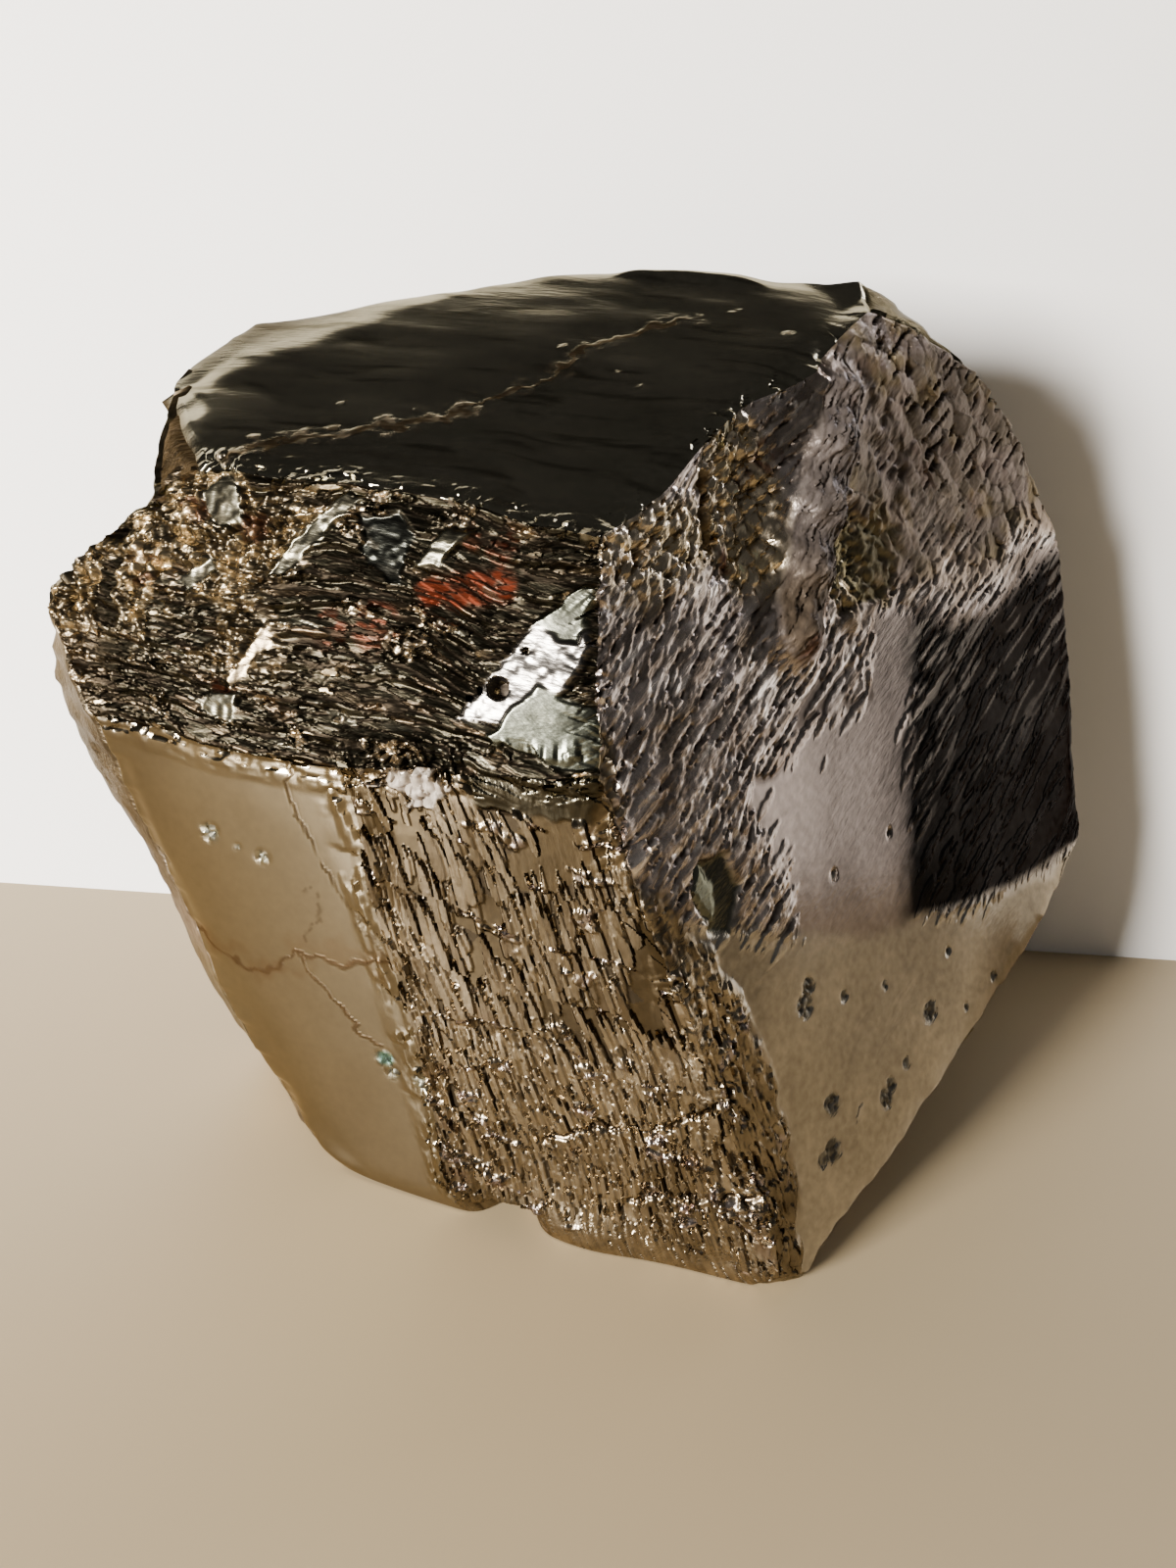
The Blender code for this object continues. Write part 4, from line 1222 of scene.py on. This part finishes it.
BOX_TURN = -17.0            # compass turn of the box that carries the body's grid
BOX_CENTRE = np.array([-0.5, 0.5, 38.0])
BOX_HALF = np.array([50.0, 27.0, 38.0])
BODY_SPACING = 0.75
LEVEL, NEVER = 1e-9, 1e9    # a ray this level misses the plane; its length is then this great


def box_grid(half, spacing):
    """Points and quads over the six sides of a box, each an even grid of two of its axes with the third
    at plus or minus the half size, welded along its edges."""
    counts = [int(2 * h / spacing / COARSE) + 1 for h in half]
    sheets, quads, base = [], [], 0
    for axis in range(3):
        u, v = (axis + 1) % 3, (axis + 2) % 3
        for sign in (-1, 1):
            s = np.linspace(-half[u], half[u], counts[u])
            t = np.linspace(-half[v], half[v], counts[v])
            points = np.zeros((counts[v], counts[u], 3))
            points[..., u], points[..., v], points[..., axis] = s[None, :], t[:, None], sign * half[axis]
            index = base + np.arange(counts[v] * counts[u]).reshape(counts[v], counts[u])
            sheet = grid_quads(index)
            quads.append(sheet if sign > 0 else sheet[:, ::-1])
            sheets.append(points.reshape(-1, 3))
            base += counts[v] * counts[u]
    points, quads = np.concatenate(sheets), np.concatenate(quads)
    _, first, welded = np.unique(np.round(points, 4), axis=0, return_index=True, return_inverse=True)
    return points[first], welded.ravel()[quads]


def body_surface(rays):
    """Where rays from the box's centre leave the crystal: the least over the faces of the length at which
    the ray meets the plane, and at the step the greater of its two planes' lengths. Also gives the
    number of the face each ray leaves through, or -1 at the step."""
    def meets(name, sink=0.0):
        """The length at which each ray meets a face's plane, or very far if it never does."""
        origin, _, _, outward = FRAMES[name]
        toward = rays @ outward
        length = (float((origin - BOX_CENTRE) @ outward) - sink) / np.maximum(toward, LEVEL)
        return np.where(toward > LEVEL, length, NEVER)

    lengths = np.array([meets(name, SINK if name in WORKED else 0.0) for name in FACES])
    step = np.maximum(meets("step_wall", SINK), meets("step_floor", SINK))
    return np.minimum(lengths.min(0), step), np.where(step < lengths.min(0), -1, lengths.argmin(0))


def higher_diagonals(points, quads):
    """Split quads along whichever diagonal stands further out, so that crystal edges stay sharp."""
    corners = points[quads]
    first = np.linalg.norm((corners[:, 0] + corners[:, 2]) / 2 - BOX_CENTRE, axis=1)
    second = np.linalg.norm((corners[:, 1] + corners[:, 3]) / 2 - BOX_CENTRE, axis=1)
    along = (first >= second)[:, None]
    one = np.where(along, quads[:, [0, 1, 2]], quads[:, [0, 1, 3]])
    two = np.where(along, quads[:, [0, 2, 3]], quads[:, [1, 2, 3]])
    return np.concatenate([one, two])


def crystal_body(material):
    """The whole lump as one closed surface: the grid of a box, each point sent out along its ray to the
    crystal's planes and moved by their relief, sunk a little where the worked faces lie over it."""
    rays, quads = box_grid(BOX_HALF, BODY_SPACING)
    a = np.radians(BOX_TURN)
    turn = np.array([[np.cos(a), -np.sin(a), 0], [np.sin(a), np.cos(a), 0], [0, 0, 1]])
    rays = rays @ turn.T
    length, own = body_surface(rays)
    points = BOX_CENTRE + rays * length[:, None]
    points = points + relief_shift(points, own)
    points[:, 2] = np.maximum(points[:, 2], 0.0)
    triangles = higher_diagonals(points, quads)
    masks = masks_of(body_skin(points))
    return make_mesh("crystal_body", points, np.zeros((0, 4), int), triangles, masks, material)


# ---------------------------------------------------------------- shader node groups

BROAD_MOTTLE, FINE_MOTTLE, ETCH_GRAIN = 120.0, 1300.0, 3200.0      # noise scales, in turns per metre
MOTTLE_SPAN = (0.32, 0.68)  # values of the mottle from its darkest to its brightest
GLINT_LIFT = 1.2            # how much brighter the painted glints make a facet's colour
FULL_COVER = 0.92           # how far rust and the painted shade in gaps cover the metal where their masks are whole


def new_group(name, inputs, outputs):
    """A shader node group with named sockets; returns it with its input and output nodes."""
    group = bpy.data.node_groups.new(name, "ShaderNodeTree")
    for label, kind, value in inputs:
        socket = group.interface.new_socket(label, in_out="INPUT", socket_type=kind)
        if value is not None:
            socket.default_value = value
    for label, kind in outputs:
        group.interface.new_socket(label, in_out="OUTPUT", socket_type=kind)
    return group, group.nodes.new("NodeGroupInput"), group.nodes.new("NodeGroupOutput")


class Wiring:
    """Short ways to add and join nodes in one tree."""

    def __init__(self, tree):
        self.tree = tree

    def put(self, socket, value):
        """Join a socket to another socket, or set it to a value."""
        if isinstance(value, bpy.types.NodeSocket):
            self.tree.links.new(value, socket)
        else:
            socket.default_value = value

    def node(self, kind, values=(), **settings):
        """A new node with its settings, and its inputs joined or set."""
        node = self.tree.nodes.new(kind)
        for key, value in settings.items():
            setattr(node, key, value)
        for key, value in dict(values).items():
            self.put(node.inputs[key], value)
        return node

    def math(self, operation, one, two=0.0):
        """The output of one sum or product."""
        return self.node("ShaderNodeMath", {0: one, 1: two}, operation=operation).outputs[0]

    def mix(self, factor, one, two):
        """The output of one mixed with two, two the more as the factor rises."""
        return self.node("ShaderNodeMix", {0: factor, 6: one, 7: two}, data_type="RGBA").outputs[2]

    def span(self, value, low, high, to_low=0.0, to_high=1.0):
        """Map a value from one span to another, held within it."""
        node = self.node("ShaderNodeMapRange", {0: value, 1: low, 2: high, 3: to_low, 4: to_high})
        return node.outputs[0]


def metal_colour_group():
    """Colour of tarnished metal: the zone's tone, mottled by two noises, darkened by painted shade in the
    gaps between platelets, reddened by rust and brightened on the glinting facets as a painted glint."""
    group, given, out = new_group(
        "metal_colour",
        [("Vector", "NodeSocketVector", None), ("Tone", "NodeSocketColor", (0.4, 0.3, 0.2, 1)),
         ("Cavity", "NodeSocketFloat", 0.0), ("Glint", "NodeSocketFloat", 0.0),
         ("Rust", "NodeSocketFloat", 0.0), ("Mottle", "NodeSocketFloat", 0.3)],
        [("Color", "NodeSocketColor")])
    w = Wiring(group)
    place = given.outputs["Vector"]
    broad = w.node("ShaderNodeTexNoise", {"Vector": place, "Scale": BROAD_MOTTLE, "Detail": 4.0})
    grain = w.node("ShaderNodeTexNoise", {"Vector": place, "Scale": FINE_MOTTLE, "Detail": 3.0})
    total = w.math("ADD", w.math("MULTIPLY", broad.outputs["Fac"], 0.5),
                   w.math("MULTIPLY", grain.outputs["Fac"], 0.5))
    lift = w.math("MULTIPLY", w.span(total, *MOTTLE_SPAN, -1.0, 1.0), given.outputs["Mottle"])
    # the painted glints lift the colour
    bright = w.math("ADD", w.math("ADD", 1.0, lift), w.math("MULTIPLY", given.outputs["Glint"], GLINT_LIFT))
    tone = w.node("ShaderNodeVectorMath", {0: given.outputs["Tone"]}, operation="SCALE")
    w.put(tone.inputs["Scale"], bright)
    rusty = w.math("MULTIPLY", given.outputs["Rust"], FULL_COVER)
    # painted shade in the cavities
    gap_shade = w.math("MULTIPLY", given.outputs["Cavity"], FULL_COVER)
    w.put(out.inputs["Color"], w.mix(gap_shade, w.mix(rusty, tone.outputs[0], (*RUST, 1)), (*PAINTED_GAP_SHADE, 1)))
    return group


def fine_etch_group():
    """Height of the finest etching: streaks along a face's own direction, over a finer grain."""
    group, given, out = new_group(
        "fine_etch",
        [("Vector", "NodeSocketVector", None), ("Streaks", "NodeSocketFloat", 500.0),
         ("Grain", "NodeSocketFloat", 0.3)],
        [("Height", "NodeSocketFloat")])
    w = Wiring(group)
    place, scale = given.outputs["Vector"], given.outputs["Streaks"]
    streak = w.node("ShaderNodeTexNoise", {"Vector": place, "Scale": scale, "Detail": 4.0, "Roughness": 0.6})
    grain = w.node("ShaderNodeTexNoise", {"Vector": place, "Scale": ETCH_GRAIN, "Detail": 2.0})
    weak = w.math("MULTIPLY", grain.outputs["Fac"], given.outputs["Grain"])
    w.put(out.inputs["Height"], w.math("ADD", streak.outputs["Fac"], weak))
    return group


METAL_COLOUR = metal_colour_group()
FINE_ETCH = fine_etch_group()
CHALK_METALLIC = 0.05       # how metallic the chalky patches still are
EDGE_LIFT, EDGE_WHITENESS = 3.0, 0.35       # colour at grazing angles: the tone times this, then whitened
DULLING = 0.3               # how much rougher cavities, rust and chalk are
POLISHED_ETCH = 0.04        # strength of the fine etching where the metal is fully polished


def along_face(name, lean):
    """Euler angles that turn the world's axes to a face's: along its striations, across them, outward."""
    _, right, up, outward = FRAMES[name]
    c, s = np.cos(np.radians(lean)), np.sin(np.radians(lean))
    return Matrix(np.stack([c * right + s * up, c * up - s * right, outward], 1).tolist()).to_euler()


def pyrite_finish(name, face, lean, stretch, mottle, smoothest, roughest, bump, streaks=500.0):
    """A pyrite surface. Its colour and masks come from the mesh's attributes, its finest relief from
    noise stretched along the face's striations, and its roughness from how polished the zone is."""
    material = bpy.data.materials.new(name)
    material.use_nodes = True
    tree = material.node_tree
    w = Wiring(tree)
    shader = tree.nodes["Principled BSDF"]
    place = w.node("ShaderNodeTexCoord").outputs["Object"]
    turn = w.node("ShaderNodeMapping", {"Vector": place}, vector_type="TEXTURE")
    turn.inputs["Rotation"].default_value = along_face(face, lean)
    turn.inputs["Scale"].default_value = (stretch, 1.0, 1.0)

    def mask(key, output="Fac"):
        """One of the mesh's attributes."""
        return w.node("ShaderNodeAttribute", attribute_name=key).outputs[output]

    colour = w.node("ShaderNodeGroup", node_tree=METAL_COLOUR)
    w.put(colour.inputs["Vector"], place)
    w.put(colour.inputs["Tone"], mask("tone", "Color"))
    for label, key in (("Cavity", "cavity"), ("Glint", "glint"), ("Rust", "rust")):
        w.put(colour.inputs[label], mask(key))
    colour.inputs["Mottle"].default_value = mottle
    etch = w.node("ShaderNodeGroup", node_tree=FINE_ETCH)
    w.put(etch.inputs["Vector"], turn.outputs[0])
    etch.inputs["Streaks"].default_value = streaks
    w.put(shader.inputs["Base Color"], colour.outputs["Color"])
    w.put(shader.inputs["Metallic"], w.span(mask("chalk"), 0.1, 0.7, 1.0, CHALK_METALLIC))
    edge = w.node("ShaderNodeVectorMath", {0: mask("tone", "Color")}, operation="SCALE")
    edge.inputs["Scale"].default_value = EDGE_LIFT
    w.put(shader.inputs["Specular Tint"], w.mix(EDGE_WHITENESS, edge.outputs[0], (1, 1, 1, 1)))
    dull = w.math("MAXIMUM", mask("cavity"), w.math("MAXIMUM", mask("rust"), mask("chalk")))
    rough = w.span(mask("polish"), 0.0, 1.0, roughest, smoothest)
    w.put(shader.inputs["Roughness"], w.math("ADD", rough, w.math("MULTIPLY", dull, DULLING)))
    strength = w.span(mask("polish"), 0.0, 1.0, 1.0, POLISHED_ETCH)
    relief = w.node("ShaderNodeBump", {"Height": w.math("MULTIPLY", etch.outputs["Height"], strength)})
    relief.inputs["Distance"].default_value = bump
    w.put(shader.inputs["Normal"], relief.outputs["Normal"])
    return material


FINISHES = {
    "top": pyrite_finish("dark_tarnish", "top", lean=2, stretch=5.0, mottle=0.25, smoothest=0.10,
                         roughest=0.34, bump=0.00012, streaks=420),
    "upper_left": pyrite_finish("stepped_steel", "upper_left", lean=-4, stretch=3.0, mottle=0.35,
                                smoothest=0.16, roughest=0.35, bump=0.00018),
    "right": pyrite_finish("lilac_tarnish", "right", lean=31, stretch=3.5, mottle=0.3, smoothest=0.13,
                           roughest=0.32, bump=0.00020),
    "lower_middle": pyrite_finish("etched_gold", "lower_middle", lean=108, stretch=3.5, mottle=0.3,
                                  smoothest=0.14, roughest=0.32, bump=0.00020),
    "lower_left": pyrite_finish("polished_bronze", "lower_left", lean=100, stretch=2.5, mottle=0.08,
                                smoothest=0.13, roughest=0.34, bump=0.00012),
    "step": pyrite_finish("olive_step", "step_wall", lean=0, stretch=1.5, mottle=0.3, smoothest=0.18,
                          roughest=0.36, bump=0.00020, streaks=300),
    "body": pyrite_finish("raw_pyrite", "back", lean=0, stretch=3.0, mottle=0.4, smoothest=0.18,
                          roughest=0.38, bump=0.00040, streaks=420),
}


# ---------------------------------------------------------------- floor, backdrop, lights and camera

FLOOR_TONE = (0.37, 0.29, 0.175, 1)
WALL_TONE = (0.90, 0.89, 0.88, 1)
WALL_FOOT = 31.5            # distance of the backdrop behind the origin, at the floor
WALL_LEAN = 0.18            # how far it leans back for each millimetre of its height
WALL_HIGH = 108.0
STAGE_HALF = 900.0
FLOOR_ROUGHNESS, WALL_ROUGHNESS = 0.5, 0.7
AIM = (0, 0, 40)            # what the lights point at
# Lights: place, size, watts and colour.
KEY_LIGHT = ((-372, -400, 150), 150, 15.0, (1.0, 0.95, 0.88))
BACK_LIGHT = ((330, 360, 300), 200, 4.0, (0.95, 0.93, 1.0))
ROOM_TONE, ROOM_STRENGTH = (0.75, 0.73, 0.70, 1), 0.12


def plain_finish(name, tone, rough, one_sided=False):
    """Plain matt paint. A one-sided sheet lets light and sight through from behind."""
    material = bpy.data.materials.new(name)
    material.use_nodes = True
    tree = material.node_tree
    shader = tree.nodes["Principled BSDF"]
    shader.inputs["Base Color"].default_value = tone
    shader.inputs["Roughness"].default_value = rough
    if one_sided:
        w = Wiring(tree)
        back = w.node("ShaderNodeNewGeometry").outputs["Backfacing"]
        clear = w.node("ShaderNodeBsdfTransparent")
        both = w.node("ShaderNodeMixShader", {0: back, 1: shader.outputs[0], 2: clear.outputs[0]})
        w.put(tree.nodes["Material Output"].inputs["Surface"], both.outputs[0])
    return material


def stage_sheet(name, corners, material):
    """One flat rectangle of the stage."""
    mesh = bpy.data.meshes.new(name)
    mesh.from_pydata([tuple(MM * c for c in corner) for corner in corners], [], [(0, 1, 2, 3)])
    mesh.materials.append(material)
    sheet = bpy.data.objects.new(name, mesh)
    bpy.context.scene.collection.objects.link(sheet)
    return sheet


def area_light(name, place, size, power, tone):
    """A square soft light at a place, aimed at the lump, in millimetres and watts."""
    lamp = bpy.data.lights.new(name, "AREA")
    lamp.shape = "SQUARE"
    lamp.size = size * MM
    lamp.energy = power
    lamp.color = tone
    light = bpy.data.objects.new(name, lamp)
    light.location = [MM * c for c in place]
    light.rotation_euler = (Vector(AIM) - Vector(place)).to_track_quat("-Z", "Y").to_euler()
    bpy.context.scene.collection.objects.link(light)
    return light


def make_stage():
    """Pale floor and a white sheet that stands close behind the lump, leaning back a little."""
    h, foot, head = STAGE_HALF, WALL_FOOT, WALL_FOOT + WALL_LEAN * WALL_HIGH
    stage_sheet("floor", [(-h, -h, 0), (h, -h, 0), (h, h, 0), (-h, h, 0)],
                plain_finish("floor_cream", FLOOR_TONE, FLOOR_ROUGHNESS))
    stage_sheet("backdrop", [(-h, foot, 0), (h, foot, 0), (h, head, WALL_HIGH), (-h, head, WALL_HIGH)],
                plain_finish("backdrop_white", WALL_TONE, WALL_ROUGHNESS, one_sided=True))


def make_lights():
    """One soft key from the front left, a weak one from behind on the right and a dim room."""
    area_light("key", *KEY_LIGHT)
    area_light("back_fill", *BACK_LIGHT)
    world = bpy.data.worlds.new("room")
    world.use_nodes = True
    background = world.node_tree.nodes["Background"]
    background.inputs["Color"].default_value = ROOM_TONE
    background.inputs["Strength"].default_value = ROOM_STRENGTH
    bpy.context.scene.world = world


CAMERA_AT = (-2.92, -114.98, 84.28)
CAMERA_DOWN = 24.0          # degrees the camera looks down
CAMERA_ROLL = 3.8           # degrees the camera is rolled
FOCAL_PIXELS, LONG_SIDE = 1350.0, 1600.0
SENSOR = 36.0
NEAREST_SEEN = 0.005


def make_camera():
    """The camera, on the side of the front edge, a hand's breadth away."""
    data = bpy.data.cameras.new("camera")
    data.sensor_width = SENSOR
    data.lens = FOCAL_PIXELS / LONG_SIDE * SENSOR
    data.clip_start = NEAREST_SEEN
    camera = bpy.data.objects.new("camera", data)
    camera.location = [MM * c for c in CAMERA_AT]
    down = Matrix.Rotation(np.radians(90 - CAMERA_DOWN), 4, "X")
    roll = Matrix.Rotation(np.radians(CAMERA_ROLL), 4, "Z")
    camera.rotation_euler = (down @ roll).to_euler()
    bpy.context.scene.collection.objects.link(camera)
    bpy.context.scene.camera = camera


make_camera()
make_stage()
make_lights()
body = crystal_body(FINISHES["body"])
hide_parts(NODE)
for face_name in WORKED:
    worked_face(face_name, FINISHES.get(face_name, FINISHES["step"]))
